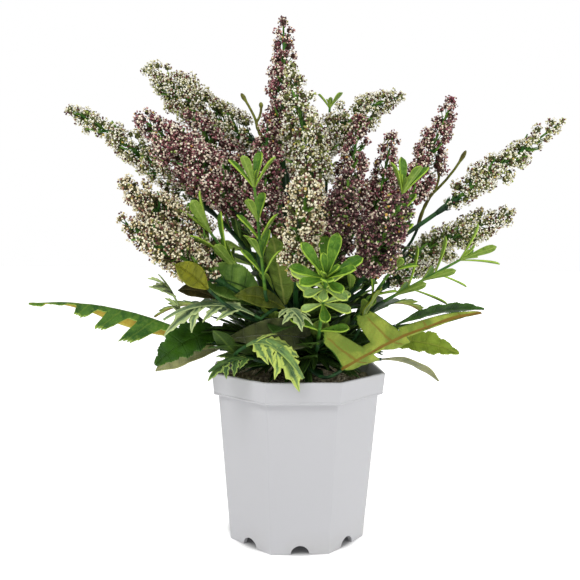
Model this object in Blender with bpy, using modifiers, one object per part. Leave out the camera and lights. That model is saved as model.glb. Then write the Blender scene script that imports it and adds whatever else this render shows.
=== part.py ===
"""Flowering spikes and mixed foliage on one branching stem, planted in an octagonal plastic pot.

Units are metres and +Z is up. The origin lies on the floor under the centre of the pot. The front is
towards -Y. Places in the lists of pieces are in millimetres and are scaled by MM.
"""

import random
from dataclasses import dataclass
from math import cos, pi, radians, sin, tau

import bmesh
import bpy
from mathutils import Matrix, Vector

MM = 0.001
SEAT_GAP = 0.0003
MERGE = 0.00001

# Pot
POT_SIDES = 8
POT_TURN = radians(3.5)
POT_HEIGHT = 0.1085
RIM_HALF_ACROSS = 0.055
RIM_FOOT_HALF_ACROSS = 0.0536
RIM_BAND_HEIGHT = 0.0138
BODY_TOP_HALF_ACROSS = 0.0508
BASE_HALF_ACROSS = 0.0429
POT_WALL = 0.0020
BASE_RING = 0.0030
FLOOR_UNDERSIDE = 0.0085
FLOOR_THICKNESS = 0.0022
POT_EDGE_ROUND = 0.0006
NOTCH_RADIUS = 0.0058
NOTCH_DEPTH = 0.016
DRAIN_HOLE_RADIUS = 0.0035
DRAIN_HOLE_CIRCLE = 0.024

# Soil
SOIL_LEVEL = 0.1010
SOIL_RELIEF = 0.0012
SOIL_POINTS_PER_SIDE = 3
SOIL_RINGS = (1.0, 0.78, 0.52, 0.26)

# Trunk and stems
TRUNK_FOOT = 0.066
TRUNK_TOP = 0.150
TRUNK_RADIUS = 0.0058
TRUNK_TOP_RADIUS = 0.0030
TRUNK_SIDES = 8
LOWEST_BRANCH = 0.1080
HIGHEST_BRANCH = 0.1460
SPIKE_STEM_RADIUS = 0.0014
SPRIG_STEM_RADIUS = 0.0011
LEAF_STEM_RADIUS = 0.0010
STEM_SEGMENTS = 3
STEM_STRAIGHT_END = 0.004
STEM_FOOT_SHARE = 1.25
STEM_LEAVE_RISE = 0.42
STEM_LEAVE_REACH = 0.10
STEM_BEND = 0.30
STEM_SPREAD = 0.8
STEM_SPREAD_REACH = 0.03
STRAP_COUNT = 13
STRAP_ROOT = 0.1075
STRAP_LENGTH = 0.038
STRAP_WIDTH = 0.0075
STRAP_RISE = radians(20.0)
STRAP_DROOP = 0.36
STRAP_SHORTEST = 0.86
STRAP_LONGER = 0.14
GOLDEN_ANGLE = radians(137.5)

# Flower spikes
SPIKE_SIDES = 9
SPIKE_RINGS = 12
SPIKE_FOOT_RADIUS = 0.0030
SPIKE_WIDEST = 0.32
SPIKE_TAPER = 0.78
SPIKE_TAPER_CURVE = 1.25
SPIKE_BODY_SHARE = 0.965
SPIKE_SIDE_BRANCHES = 3.0
SPIKE_BRANCH_RELIEF = 0.16
SPIKE_BRANCH_TWIST = 9.0
FLORET_HEIGHT = 0.0022
FLORET_HOLLOW = -0.25
FLORET_TIP_SHARE = 0.35
FLORET_SPREAD = (0.92, 1.05)

# Leaves
BLADE_THICKNESS = 0.0008
BLADE_FOOT_HALF_WIDTH = 0.0011
SPOON_THICKNESS = 0.0014
SPOON_DROOP = 0.10
SPOON_ROOT_SINK = 0.0006
SPOON_INNER_SHARE = 0.62
SPOON_STATIONS = ((0.0, 0.15, 0.9), (0.42, 0.54, 1.0), (0.78, 1.0, 0.8))
SPOON_FACING_BACK = 0.4
SPRIG_STEM_SHARES = (0.0, 0.35, 0.7, 1.0)
SPRIG_STEM_TAPER = 0.25
SPRIG_BUD_RADIUS = 0.0013
SPRIG_BUD_GROWTH = 0.0002
LAST_PAIR = 0.84
LEAF_SIZES = (0.85, 1.05)
PAIR_TURN = 0.3
TUFT_TURN = 0.2
PLAIN_EDGE_STEPS = 9
FIRST_LOBE = 0.10
LAST_LOBE = 0.90
LOBE_TIP_SHARE = 0.12
LOBE_FOOT_SHARE = 0.7
BLADE_WAVES = 13.0

# Twigs
TWIG_FOOT_RADIUS = 0.0011
TWIG_WAIST_RADIUS = 0.0009
TWIG_FORK_RADIUS = 0.0010
TWIG_WAIST = 0.55
ARM_RADII = (0.0008, 0.0007, 0.0016, 0.0007)
ARM_SINK = 0.0006
BUD_FOOT = 0.006
BUD_MIDDLE = 0.002

Place = tuple[float, float, float]


@dataclass(frozen=True)
class Spike:
    """A flower spike: where it starts and ends in mm, its widest radius and its sideways bow."""

    name: str
    foot: Place
    tip: Place
    radius: float
    bow: Place = (0.0, 0.0, 0.0)
    stem_bow: Place = (0.0, 0.0, 0.0)


@dataclass(frozen=True)
class Sprig:
    """A sprig of spoon-shaped leaves in pairs along its stem, with a tuft of leaves at the end."""

    name: str
    foot: Place
    tip: Place
    pairs: int
    tuft: int
    leaf_length: float
    leaf_width: float
    open_angle: float
    first_pair: float = 0.14
    bow: Place = (0.0, 0.0, 0.0)
    stem_bow: Place = (0.0, 0.0, 0.0)


@dataclass(frozen=True)
class Outline:
    """The edge of a leaf: lobes a side, their depth, where it is widest, and how far the lobes lean on."""

    lobes: int
    notch: float
    dip: float
    widest: float
    shear: float
    lower_lean: float = 0.0


@dataclass(frozen=True)
class Blade:
    """A single leaf: foot and tip in mm, half width, arch above the straight line, and roll in degrees."""

    name: str
    foot: Place
    tip: Place
    half_width: float
    arch: float
    roll: float
    outline: Outline
    lower_share: float = 1.0
    cup: float = 0.18
    wave: float = 0.06
    stem_bow: Place = (0.0, 0.0, 0.0)


@dataclass(frozen=True)
class Twig:
    """A bare forked twig with a bud at each end."""

    name: str
    foot: Place
    fork: Place
    tips: tuple[Place, ...]


LOBED = Outline(lobes=4, notch=0.42, dip=0.80, widest=0.36, shear=38.0)
BROAD = Outline(lobes=3, notch=0.26, dip=0.88, widest=0.16, shear=-20.0, lower_lean=62.0)
TOOTHED = Outline(lobes=4, notch=0.80, dip=0.92, widest=0.50, shear=18.0)
CUT = Outline(lobes=4, notch=0.17, dip=0.62, widest=0.42, shear=42.0)
FELTED = Outline(lobes=0, notch=1.0, dip=1.0, widest=0.55, shear=8.0)
OVATE = Outline(lobes=0, notch=1.0, dip=1.0, widest=0.45, shear=12.0)

PURPLE_SPIKES = (
    Spike("spike_purple_top", (-10, 8, 244), (-11, 5, 336), 10.0),
    Spike("spike_purple_left", (-36, -13, 207), (-99, -24, 267), 13.0, (0, 0, 4)),
    Spike("spike_purple_left_upper", (-33, 9, 220), (-72, 3, 275), 10.5),
    Spike("spike_purple_rear_left", (-30, 31, 214), (-40, 42, 268), 9.0),
    Spike("spike_purple_centre_left", (-24, -25, 188), (-20, -10, 269), 10.5),
    Spike("spike_purple_centre_right", (28, -3, 198), (39, -4, 271), 10.5),
    Spike("spike_purple_right_inner", (48, 6, 196), (63, 13, 264), 9.0),
    Spike("spike_purple_right", (71, 13, 210), (103, 15, 287), 10.0),
    Spike("spike_purple_front_right", (39, -43, 172), (52, -94, 212), 14.0),
    Spike("spike_purple_front", (20, -31, 176), (30, -42, 232), 11.0),
    Spike("spike_purple_back_left", (-34, 52, 196), (-70, 102, 248), 11.5),
    Spike("spike_purple_back_right", (46, 50, 186), (84, 96, 242), 11.5),
    Spike("spike_purple_back_top", (-12, 40, 226), (-14, 76, 298), 10.5),
)

CREAM_SPIKES = (
    Spike("spike_cream_top", (11, -18, 210), (-5, -26, 298), 12.0),
    Spike("spike_cream_upper_left", (-26, 22, 258), (-106, 30, 311), 12.0, (0, 0, -3)),
    Spike("spike_cream_left", (-64, 9, 216), (-152, 9, 278), 9.5, (0, 0, 3)),
    Spike("spike_cream_low_left", (-48, -24, 176), (-108, -30, 226), 12.5),
    Spike("spike_cream_low_left_second", (-48, -44, 168), (-102, -60, 202), 10.0),
    Spike("spike_cream_upper_right", (12, 16, 243), (69, 25, 292), 10.5, (-4, 0, 8)),
    Spike("spike_cream_far_right", (98, 5, 216), (173, 5, 272), 8.5),
    Spike("spike_cream_right", (72, 9, 181), (144, 12, 213), 9.5),
    Spike("spike_cream_front", (-1, -46, 170), (3, -103, 221), 13.5),
    Spike("spike_cream_back", (8, 58, 190), (12, 104, 250), 11.5),
    Spike("spike_cream_back_left", (-62, 46, 166), (-120, 84, 206), 11.5),
    Spike("spike_cream_back_right", (66, 42, 162), (124, 82, 200), 11.5),
)

SPRIGS = (
    Sprig("sprig_front_rosette", (12, -42, 130), (13, -86, 167), 2, 8, 22, 9, 64, first_pair=0.22),
    Sprig("sprig_left_upright", (-20, -42, 162), (-32, -56, 232), 4, 3, 21, 8, 34, stem_bow=(0, 8, 4)),
    Sprig("sprig_left_inner", (-32, 15, 160), (-62, 24, 192), 3, 3, 18, 7, 36),
    Sprig("sprig_right_long", (54, -20, 154), (126, -13, 180), 6, 3, 20, 6, 38, stem_bow=(0, 0, -6)),
    Sprig("sprig_right_upright", (54, -24, 182), (64, -38, 226), 2, 4, 20, 7, 30),
    Sprig("sprig_top", (20, 36, 232), (22, 42, 288), 3, 2, 14, 6, 34),
    Sprig("sprig_right_low", (36, -22, 142), (57, -31, 174), 2, 3, 17, 7, 36),
    Sprig("sprig_back_left", (-24, 44, 156), (-42, 88, 186), 3, 4, 19, 8, 44),
    Sprig("sprig_back_right", (20, 48, 156), (54, 88, 178), 3, 4, 19, 8, 44),
)

LOBED_LEAVES = (
    Blade("lobed_leaf_far_left", (-66, -10, 130), (-176, -4, 149), 15, 3, -24, LOBED),
    Blade("lobed_leaf_front_left", (-45, -26, 134), (-83, -54, 118), 14, 6, -42, TOOTHED),
    Blade("lobed_leaf_front_right", (26, -48, 115), (114, -26, 148), 30, 4, -78, BROAD, lower_share=0.5),
    Blade("lobed_leaf_right", (54, 4, 125), (108, 2, 118), 10, 4, 50, TOOTHED),
    Blade("lobed_leaf_back_left", (-34, 36, 128), (-112, 86, 132), 18, 14, 0, LOBED),
    Blade("lobed_leaf_back_right", (36, 36, 128), (104, 94, 136), 18, 14, 0, LOBED),
)

CUT_LEAVES = (
    Blade("cut_leaf_left", (-26, -46, 147), (-82, -53, 142), 17, 8, -34, CUT, stem_bow=(0, 4, 16)),
    Blade("cut_leaf_far_left", (-72, -22, 143), (-88, -26, 171), 12, 3, 0, CUT),
    Blade("cut_leaf_front", (-30, -55, 130), (5, -65, 109), 15, 8, 34, CUT),
    Blade("cut_leaf_front_inner", (-9, -39, 148), (3, -65, 144), 10, 5, 0, CUT),
    Blade("cut_leaf_low_left", (-26, -48, 118), (-53, -61, 112), 9, 4, -24, CUT),
    Blade("cut_leaf_back", (8, 48, 138), (20, 102, 140), 16, 13, 0, CUT),
)

FELTED_LEAVES = (
    Blade("felted_leaf_low_left", (-50, -15, 122), (-89, -24, 109), 10, 4, -36, FELTED),
    Blade("felted_leaf_front", (8, -34, 132), (-44, -46, 132), 10, 3, -68, FELTED),
    Blade("felted_leaf_low_right", (54, -18, 117), (91, -16, 103), 8, 4, -16, FELTED),
    Blade("felted_leaf_back", (-8, 50, 124), (-20, 94, 114), 11, 6, 0, FELTED),
)

OVATE_LEAVES = (
    Blade("ovate_leaf_left", (-24, -3, 146), (-76, -4, 168), 15, 4, -62, OVATE),
    Blade("ovate_leaf_centre", (-6, -24, 154), (-10, -31, 192), 10, 2, 0, OVATE),
    Blade("ovate_leaf_right", (42, -3, 138), (55, -4, 163), 10, 2, 0, OVATE),
    Blade("ovate_leaf_back_left", (-24, 34, 144), (-58, 60, 162), 12, 4, 20, OVATE),
    Blade("ovate_leaf_back_right", (26, 32, 144), (60, 56, 162), 12, 4, -20, OVATE),
)

TWIGS = (
    Twig("twig_right", (83, 24, 202), (93, 26, 226), ((116, 27, 256), (97, 24, 243))),
    Twig("twig_left", (-24, 36, 262), (-30, 37, 276), ((-41, 38, 296), (-27, 38, 290))),
)

COLOURS = {
    "pot": ((0.62, 0.63, 0.66, 1.0), 0.42),
    "soil": ((0.16, 0.11, 0.07, 1.0), 0.95),
    "stem": ((0.03, 0.10, 0.03, 1.0), 0.55),
    "purple": ((0.16, 0.07, 0.11, 1.0), 0.90),
    "cream": ((0.58, 0.53, 0.43, 1.0), 0.90),
    "spoon": ((0.16, 0.30, 0.06, 1.0), 0.50),
    "lobed": ((0.05, 0.17, 0.03, 1.0), 0.50),
    "cut": ((0.20, 0.32, 0.16, 1.0), 0.50),
    "felted": ((0.13, 0.14, 0.07, 1.0), 0.85),
    "ovate": ((0.10, 0.20, 0.04, 1.0), 0.50),
    "twig": ((0.17, 0.19, 0.05, 1.0), 0.70),
}


def clear_scene() -> None:
    """Remove every object that the file starts with."""
    for obj in list(bpy.data.objects):
        bpy.data.objects.remove(obj, do_unlink=True)


def new_collection(name: str) -> bpy.types.Collection:
    """Add an empty collection to the scene."""
    collection = bpy.data.collections.new(name)
    bpy.context.scene.collection.children.link(collection)
    return collection


def finish_of(key: str) -> bpy.types.Material:
    """A Principled material of one of the named colours."""
    colour, roughness = COLOURS[key]
    material = bpy.data.materials.new(key)
    material.use_nodes = True
    shader = material.node_tree.nodes["Principled BSDF"]
    shader.inputs["Base Color"].default_value = colour
    shader.inputs["Roughness"].default_value = roughness
    material.diffuse_color = colour
    return material


def add_mesh(name: str, bm: bmesh.types.BMesh, collection: bpy.types.Collection) -> bpy.types.Object:
    """Turn a bmesh into an object of the collection, with its faces pointing out."""
    bmesh.ops.recalc_face_normals(bm, faces=bm.faces)
    mesh = bpy.data.meshes.new(name)
    bm.to_mesh(mesh)
    bm.free()
    obj = bpy.data.objects.new(name, mesh)
    collection.objects.link(obj)
    return obj


def add_tube(name: str, points: list[Vector], radii: list[float], sides_step: int,
             collection: bpy.types.Collection) -> bpy.types.Object:
    """A closed tube along the points: a bevelled curve with its caps welded on."""
    curve = bpy.data.curves.new(name, "CURVE")
    curve.dimensions = "3D"
    curve.bevel_depth = 1.0
    curve.bevel_resolution = sides_step
    curve.use_fill_caps = True
    spline = curve.splines.new("POLY")
    spline.points.add(len(points) - 1)
    for spline_point, point, radius in zip(spline.points, points, radii):
        spline_point.co = (*point, 1.0)
        spline_point.radius = radius
    guide = bpy.data.objects.new(name + "_guide", curve)
    collection.objects.link(guide)
    bpy.context.view_layer.update()
    evaluated = guide.evaluated_get(bpy.context.evaluated_depsgraph_get())
    mesh = bpy.data.meshes.new_from_object(evaluated)
    bm = bmesh.new()
    bm.from_mesh(mesh)
    bmesh.ops.remove_doubles(bm, verts=bm.verts, dist=MERGE)
    bpy.data.objects.remove(guide, do_unlink=True)
    bpy.data.meshes.remove(mesh)
    return add_mesh(name, bm, collection)


def fuse(base: bpy.types.Object, others: list[bpy.types.Object]) -> None:
    """Join the other objects into the base with one applied Boolean union, and remove them."""
    group = new_collection(base.name + "_parts")
    for other in others:
        for holder in list(other.users_collection):
            holder.objects.unlink(other)
        group.objects.link(other)
    union = base.modifiers.new("union", "BOOLEAN")
    union.operation = "UNION"
    union.operand_type = "COLLECTION"
    union.collection = group
    union.solver = "EXACT"
    bpy.context.view_layer.update()
    evaluated = base.evaluated_get(bpy.context.evaluated_depsgraph_get())
    joined = bpy.data.meshes.new_from_object(evaluated)
    base.modifiers.clear()
    base.data = joined
    for other in others:
        bpy.data.objects.remove(other, do_unlink=True)
    bpy.data.collections.remove(group)


def to_metres(place: Place) -> Vector:
    """A place of the lists above, in metres."""
    return Vector(place) * MM


def bowed(start: Vector, end: Vector, bow: Vector, t: float) -> Vector:
    """The point at t on the parabola from start to end whose middle stands off by bow."""
    return start.lerp(end, t) + bow * 4.0 * t * (1.0 - t)


def bowed_direction(start: Vector, end: Vector, bow: Vector, t: float) -> Vector:
    """The direction of that parabola at t."""
    return (end - start + bow * 4.0 * (1.0 - 2.0 * t)).normalized()


def across(direction: Vector) -> tuple[Vector, Vector]:
    """A sideways and an upper direction square to the given one."""
    side = direction.cross(Vector((0.0, 0.0, 1.0)))
    if side.length < 0.05:
        side = direction.cross(Vector((0.0, 1.0, 0.0)))
    side.normalize()
    return side, side.cross(direction).normalized()


def corner_radius(half_across: float) -> float:
    """The corner radius of the pot's outline from its half width across flats."""
    return half_across / cos(pi / POT_SIDES)


def wall_half_across(z: float) -> float:
    """The half width across flats of the body's outer face at a height."""
    share = z / (POT_HEIGHT - RIM_BAND_HEIGHT)
    return BASE_HALF_ACROSS + (BODY_TOP_HALF_ACROSS - BASE_HALF_ACROSS) * share


def inner_half_across(z: float) -> float:
    """The half width across flats of the pot's inside at a height."""
    return wall_half_across(z) - POT_WALL


def pot_profile() -> list[tuple[float, float]]:
    """Half section of the pot from the floor's middle, up the inside and down the outside."""
    band_foot = POT_HEIGHT - RIM_BAND_HEIGHT
    floor_top = FLOOR_UNDERSIDE + FLOOR_THICKNESS
    lip_inside = RIM_HALF_ACROSS - POT_WALL
    return [
        (0.0, floor_top),
        (inner_half_across(floor_top), floor_top),
        (inner_half_across(band_foot), band_foot),
        (lip_inside, POT_HEIGHT),
        (RIM_HALF_ACROSS, POT_HEIGHT),
        (RIM_FOOT_HALF_ACROSS, band_foot),
        (BODY_TOP_HALF_ACROSS, band_foot),
        (BASE_HALF_ACROSS, 0.0),
        (BASE_HALF_ACROSS - BASE_RING, 0.0),
        (BASE_HALF_ACROSS - BASE_RING, FLOOR_UNDERSIDE),
        (0.0, FLOOR_UNDERSIDE),
    ]


def pot_cutters(collection: bpy.types.Collection) -> bpy.types.Object:
    """The half-round notches through the standing ring, and the drain holes through the floor."""
    bm = bmesh.new()
    for face in range(POT_SIDES):
        turn = POT_TURN + tau * face / POT_SIDES
        middle = Vector((BASE_HALF_ACROSS, 0.0, 0.0))
        place = Matrix.Rotation(turn, 4, "Z") @ Matrix.Translation(middle) @ Matrix.Rotation(pi / 2, 4, "Y")
        bmesh.ops.create_cone(bm, cap_ends=True, segments=12, radius1=NOTCH_RADIUS,
                              radius2=NOTCH_RADIUS, depth=NOTCH_DEPTH, matrix=place)
    for hole in range(POT_SIDES // 2):
        turn = POT_TURN + tau * (hole + 0.5) / (POT_SIDES // 2)
        middle = Vector((DRAIN_HOLE_CIRCLE * cos(turn), DRAIN_HOLE_CIRCLE * sin(turn), FLOOR_UNDERSIDE))
        bmesh.ops.create_cone(bm, cap_ends=True, segments=8, radius1=DRAIN_HOLE_RADIUS,
                              radius2=DRAIN_HOLE_RADIUS, depth=4.0 * FLOOR_THICKNESS,
                              matrix=Matrix.Translation(middle))
    cutter = add_mesh("pot_cutters", bm, collection)
    cutter.hide_render = True
    cutter.display_type = "WIRE"
    return cutter


def make_pot(collection: bpy.types.Collection, cutters: bpy.types.Collection) -> None:
    """The octagonal pot: its half section turned in eight steps, notched along the base."""
    bm = bmesh.new()
    corners = [bm.verts.new((corner_radius(half), 0.0, z)) for half, z in pot_profile()]
    for low, high in zip(corners, corners[1:]):
        bm.edges.new((low, high))
    mesh = bpy.data.meshes.new("pot")
    bm.to_mesh(mesh)
    bm.free()
    pot = bpy.data.objects.new("pot", mesh)
    pot.rotation_euler.z = POT_TURN + pi / POT_SIDES
    collection.objects.link(pot)
    turned = pot.modifiers.new("octagon", "SCREW")
    turned.steps = POT_SIDES
    turned.render_steps = POT_SIDES
    turned.use_merge_vertices = True
    turned.merge_threshold = 0.0001
    turned.use_smooth_shade = False
    turned.use_normal_calculate = True
    softened = pot.modifiers.new("edges", "BEVEL")
    softened.width = POT_EDGE_ROUND
    softened.segments = 1
    softened.limit_method = "ANGLE"
    softened.angle_limit = radians(30.0)
    notched = pot.modifiers.new("notches", "BOOLEAN")
    notched.operation = "DIFFERENCE"
    notched.solver = "EXACT"
    notched.object = pot_cutters(cutters)
    pot.data.materials.append(finish_of("pot"))


def octagon_point(half_across: float, index: int, count: int) -> tuple[float, float]:
    """A point on the octagon's outline, index of count, going round from a corner."""
    per_side = count // POT_SIDES
    side, step = divmod(index, per_side)
    start = POT_TURN + tau * (side - 0.5) / POT_SIDES
    end = start + tau / POT_SIDES
    share = step / per_side
    radius = corner_radius(half_across)
    return (radius * (cos(start) * (1.0 - share) + cos(end) * share),
            radius * (sin(start) * (1.0 - share) + sin(end) * share))


def make_soil(collection: bpy.types.Collection, cutters: bpy.types.Collection) -> None:
    """The soil: a solid that fills the pot, uneven on top, with a plain hole for the trunk."""
    rng = random.Random(11)
    count = POT_SIDES * SOIL_POINTS_PER_SIDE
    floor_top = FLOOR_UNDERSIDE + FLOOR_THICKNESS + SEAT_GAP
    clearance = POT_EDGE_ROUND + SEAT_GAP
    bm = bmesh.new()
    low_half = inner_half_across(floor_top) - clearance
    top_half = inner_half_across(SOIL_LEVEL - SOIL_RELIEF) - clearance
    loops = [[bm.verts.new((*octagon_point(low_half, i, count), floor_top)) for i in range(count)]]
    for ring, share in enumerate(SOIL_RINGS):
        relief = 0.0 if ring == 0 else SOIL_RELIEF
        loops.append([
            bm.verts.new((*octagon_point(top_half * share, i, count),
                          SOIL_LEVEL - SOIL_RELIEF + relief * rng.uniform(0.0, 2.0)))
            for i in range(count)
        ])
    for lower, upper in zip(loops, loops[1:]):
        for i in range(count):
            j = (i + 1) % count
            bm.faces.new((lower[i], lower[j], upper[j], upper[i]))
    bm.faces.new(list(reversed(loops[0])))
    bm.faces.new(loops[-1])
    bmesh.ops.triangulate(bm, faces=bm.faces)
    soil = add_mesh("soil", bm, collection)
    hole = bmesh.new()
    depth = 2.0 * (POT_HEIGHT - TRUNK_FOOT + SEAT_GAP)
    bmesh.ops.create_cone(hole, cap_ends=True, segments=TRUNK_SIDES * 2,
                          radius1=TRUNK_RADIUS + 2.0 * SEAT_GAP, radius2=TRUNK_RADIUS + 2.0 * SEAT_GAP,
                          depth=depth, matrix=Matrix.Translation((0.0, 0.0, POT_HEIGHT)))
    cutter = add_mesh("trunk_hole", hole, cutters)
    cutter.hide_render = True
    cutter.display_type = "WIRE"
    bored = soil.modifiers.new("trunk_hole", "BOOLEAN")
    bored.operation = "DIFFERENCE"
    bored.solver = "EXACT"
    bored.object = cutter
    soil.data.materials.append(finish_of("soil"))


def spike_radius(radius: float, t: float) -> float:
    """The spike's radius at t: a narrow foot, widest at a third, and a long taper to the tip."""
    if t < SPIKE_WIDEST:
        rise = sin(0.5 * pi * t / SPIKE_WIDEST)
        return SPIKE_FOOT_RADIUS + (radius - SPIKE_FOOT_RADIUS) * rise
    fall = (t - SPIKE_WIDEST) / (1.0 - SPIKE_WIDEST)
    return radius * (1.0 - SPIKE_TAPER * fall ** SPIKE_TAPER_CURVE)


def make_spike(spike: Spike, key: str, collection: bpy.types.Collection) -> None:
    """A flower spike: a tapering body covered in raised florets, placed in a honeycomb round it."""
    rng = random.Random(spike.name)
    foot, tip, bow = to_metres(spike.foot), to_metres(spike.tip), to_metres(spike.bow)
    radius = spike.radius * MM
    phase = rng.uniform(0.0, tau)
    bm = bmesh.new()
    loops = []
    for ring in range(SPIKE_RINGS):
        t = ring / (SPIKE_RINGS - 1)
        centre = bowed(foot, tip, bow, SPIKE_BODY_SHARE * t)
        side, upper = across(bowed_direction(foot, tip, bow, t))
        plain = spike_radius(radius, t)
        loop = []
        for step in range(SPIKE_SIDES):
            angle = tau * (step - 0.5 * ring) / SPIKE_SIDES
            reach = plain
            if ring > 0:
                turned = SPIKE_SIDE_BRANCHES * angle + SPIKE_BRANCH_TWIST * t + phase
                lobed = 1.0 + SPIKE_BRANCH_RELIEF * sin(turned)
                raised = FLORET_HEIGHT * (1.0 if (ring + step) % 3 == 0 else FLORET_HOLLOW)
                tapered = min(1.0, plain / radius + FLORET_TIP_SHARE)
                reach = plain * lobed * rng.uniform(*FLORET_SPREAD) + raised * tapered
            loop.append(bm.verts.new(centre + (side * cos(angle) + upper * sin(angle)) * reach))
        loops.append(loop)
    for lower, upper_loop in zip(loops, loops[1:]):
        for i in range(SPIKE_SIDES):
            j = (i + 1) % SPIKE_SIDES
            bm.faces.new((lower[i], lower[j], upper_loop[j]))
            bm.faces.new((lower[i], upper_loop[j], upper_loop[i]))
    bm.faces.new(list(reversed(loops[0])))
    top = bm.verts.new(tip)
    for i in range(SPIKE_SIDES):
        bm.faces.new((loops[-1][i], loops[-1][(i + 1) % SPIKE_SIDES], top))
    head = add_mesh(spike.name, bm, collection)
    head.data.materials.append(finish_of(key))


def spoon_leaf(name: str, root: Vector, direction: Vector, facing: Vector, length: float, width: float,
               collection: bpy.types.Collection, droop_share: float = SPOON_DROOP) -> bpy.types.Object:
    """A spoon-shaped leaf of diamond section: narrow at the root, wide past the middle, blunt at the end."""
    along = direction.normalized()
    side = along.cross(facing).normalized()
    normal = side.cross(along).normalized()
    droop = -droop_share * length
    bm = bmesh.new()
    loops = []
    for share, breadth, thick in SPOON_STATIONS:
        centre = root + along * (length * share) + normal * (droop * share * share)
        half = 0.5 * width * breadth
        depth = 0.5 * SPOON_THICKNESS * thick
        loops.append([bm.verts.new(centre + offset)
                      for offset in (side * half, normal * depth, side * -half, normal * -depth)])
    for lower, upper in zip(loops, loops[1:]):
        for i in range(4):
            j = (i + 1) % 4
            bm.faces.new((lower[i], lower[j], upper[j], upper[i]))
    bm.faces.new(loops[0])
    end = bm.verts.new(root + along * length + normal * droop)
    for i in range(4):
        bm.faces.new((loops[-1][i], loops[-1][(i + 1) % 4], end))
    bmesh.ops.triangulate(bm, faces=bm.faces)
    return add_mesh(name, bm, collection)


def make_sprig(sprig: Sprig, collection: bpy.types.Collection) -> None:
    """A sprig: its stem, leaves in crossed pairs along it and a tuft at its end, fused into one body."""
    rng = random.Random(sprig.name)
    foot, tip, bow = to_metres(sprig.foot), to_metres(sprig.tip), to_metres(sprig.bow)
    points = [bowed(foot, tip, bow, t) for t in SPRIG_STEM_SHARES]
    radii = [SPRIG_STEM_RADIUS * (1.0 - SPRIG_STEM_TAPER * t) for t in SPRIG_STEM_SHARES]
    stem = add_tube(sprig.name, points, radii, 0, collection)
    leaves = []
    length, width = sprig.leaf_length * MM, sprig.leaf_width * MM
    opened = radians(sprig.open_angle)
    for pair in range(sprig.pairs):
        t = sprig.first_pair + (LAST_PAIR - sprig.first_pair) * pair / sprig.pairs
        centre = bowed(foot, tip, bow, t)
        along = bowed_direction(foot, tip, bow, t)
        side, upper = across(along)
        turn = 0.5 * pi * pair + rng.uniform(-PAIR_TURN, PAIR_TURN)
        size = rng.uniform(*LEAF_SIZES)
        for half in (0.0, pi):
            out = side * cos(turn + half) + upper * sin(turn + half)
            heading = along * cos(opened) + out * sin(opened)
            root = centre - heading * SPOON_ROOT_SINK
            facing = along - out * SPOON_FACING_BACK
            leaves.append(spoon_leaf(f"{sprig.name}_{len(leaves)}", root, heading, facing,
                                     length * size, width * size, collection))
    along = bowed_direction(foot, tip, bow, 1.0)
    side, upper = across(along)
    full_tuft = sprig.tuft > 3
    for leaf in range(sprig.tuft):
        turn = tau * leaf / sprig.tuft + rng.uniform(-TUFT_TURN, TUFT_TURN)
        out = side * cos(turn) + upper * sin(turn)
        lean = opened * (SPOON_INNER_SHARE if leaf % 2 and full_tuft else 1.0)
        heading = along * cos(lean) + out * sin(lean)
        root = tip - along * SPRIG_STEM_RADIUS
        leaves.append(spoon_leaf(f"{sprig.name}_{len(leaves)}", root, heading,
                                 along - out * SPOON_FACING_BACK, length, width, collection))
    bud = bmesh.new()
    bmesh.ops.create_icosphere(bud, subdivisions=1, radius=SPRIG_BUD_RADIUS + SPRIG_BUD_GROWTH * sprig.tuft,
                               matrix=Matrix.Translation(tip - along * SPRIG_STEM_RADIUS))
    leaves.append(add_mesh(sprig.name + "_bud", bud, collection))
    fuse(stem, leaves)
    stem.data.materials.clear()
    stem.data.materials.append(finish_of("spoon"))


def leaf_envelope(outline: Outline, t: float) -> float:
    """How wide the leaf's outline is at t before lobes are cut, as a share of its half width."""
    if t < outline.widest:
        return sin(0.5 * pi * t / outline.widest) ** 0.8
    return cos(0.5 * pi * (t - outline.widest) / (1.0 - outline.widest)) ** 0.9


def leaf_edge(outline: Outline) -> list[tuple[float, float]]:
    """Stations along the midrib with the half width at each, as shares of length and half width."""
    if outline.lobes == 0:
        shares = [i / PLAIN_EDGE_STEPS for i in range(1, PLAIN_EDGE_STEPS)]
        return [(t, leaf_envelope(outline, t)) for t in shares]
    step = (LAST_LOBE - FIRST_LOBE) / outline.lobes
    edge = []
    for lobe in range(outline.lobes):
        begin = FIRST_LOBE + lobe * step
        for share, depth in ((0.0, outline.notch), (0.34, 0.92), (0.50, outline.dip), (0.72, 1.0)):
            t = begin + share * step
            edge.append((t, depth * leaf_envelope(outline, t)))
    narrowed = LOBE_FOOT_SHARE * outline.notch * leaf_envelope(outline, LAST_LOBE)
    edge.append((LAST_LOBE, narrowed + LOBE_TIP_SHARE))
    return edge


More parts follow.
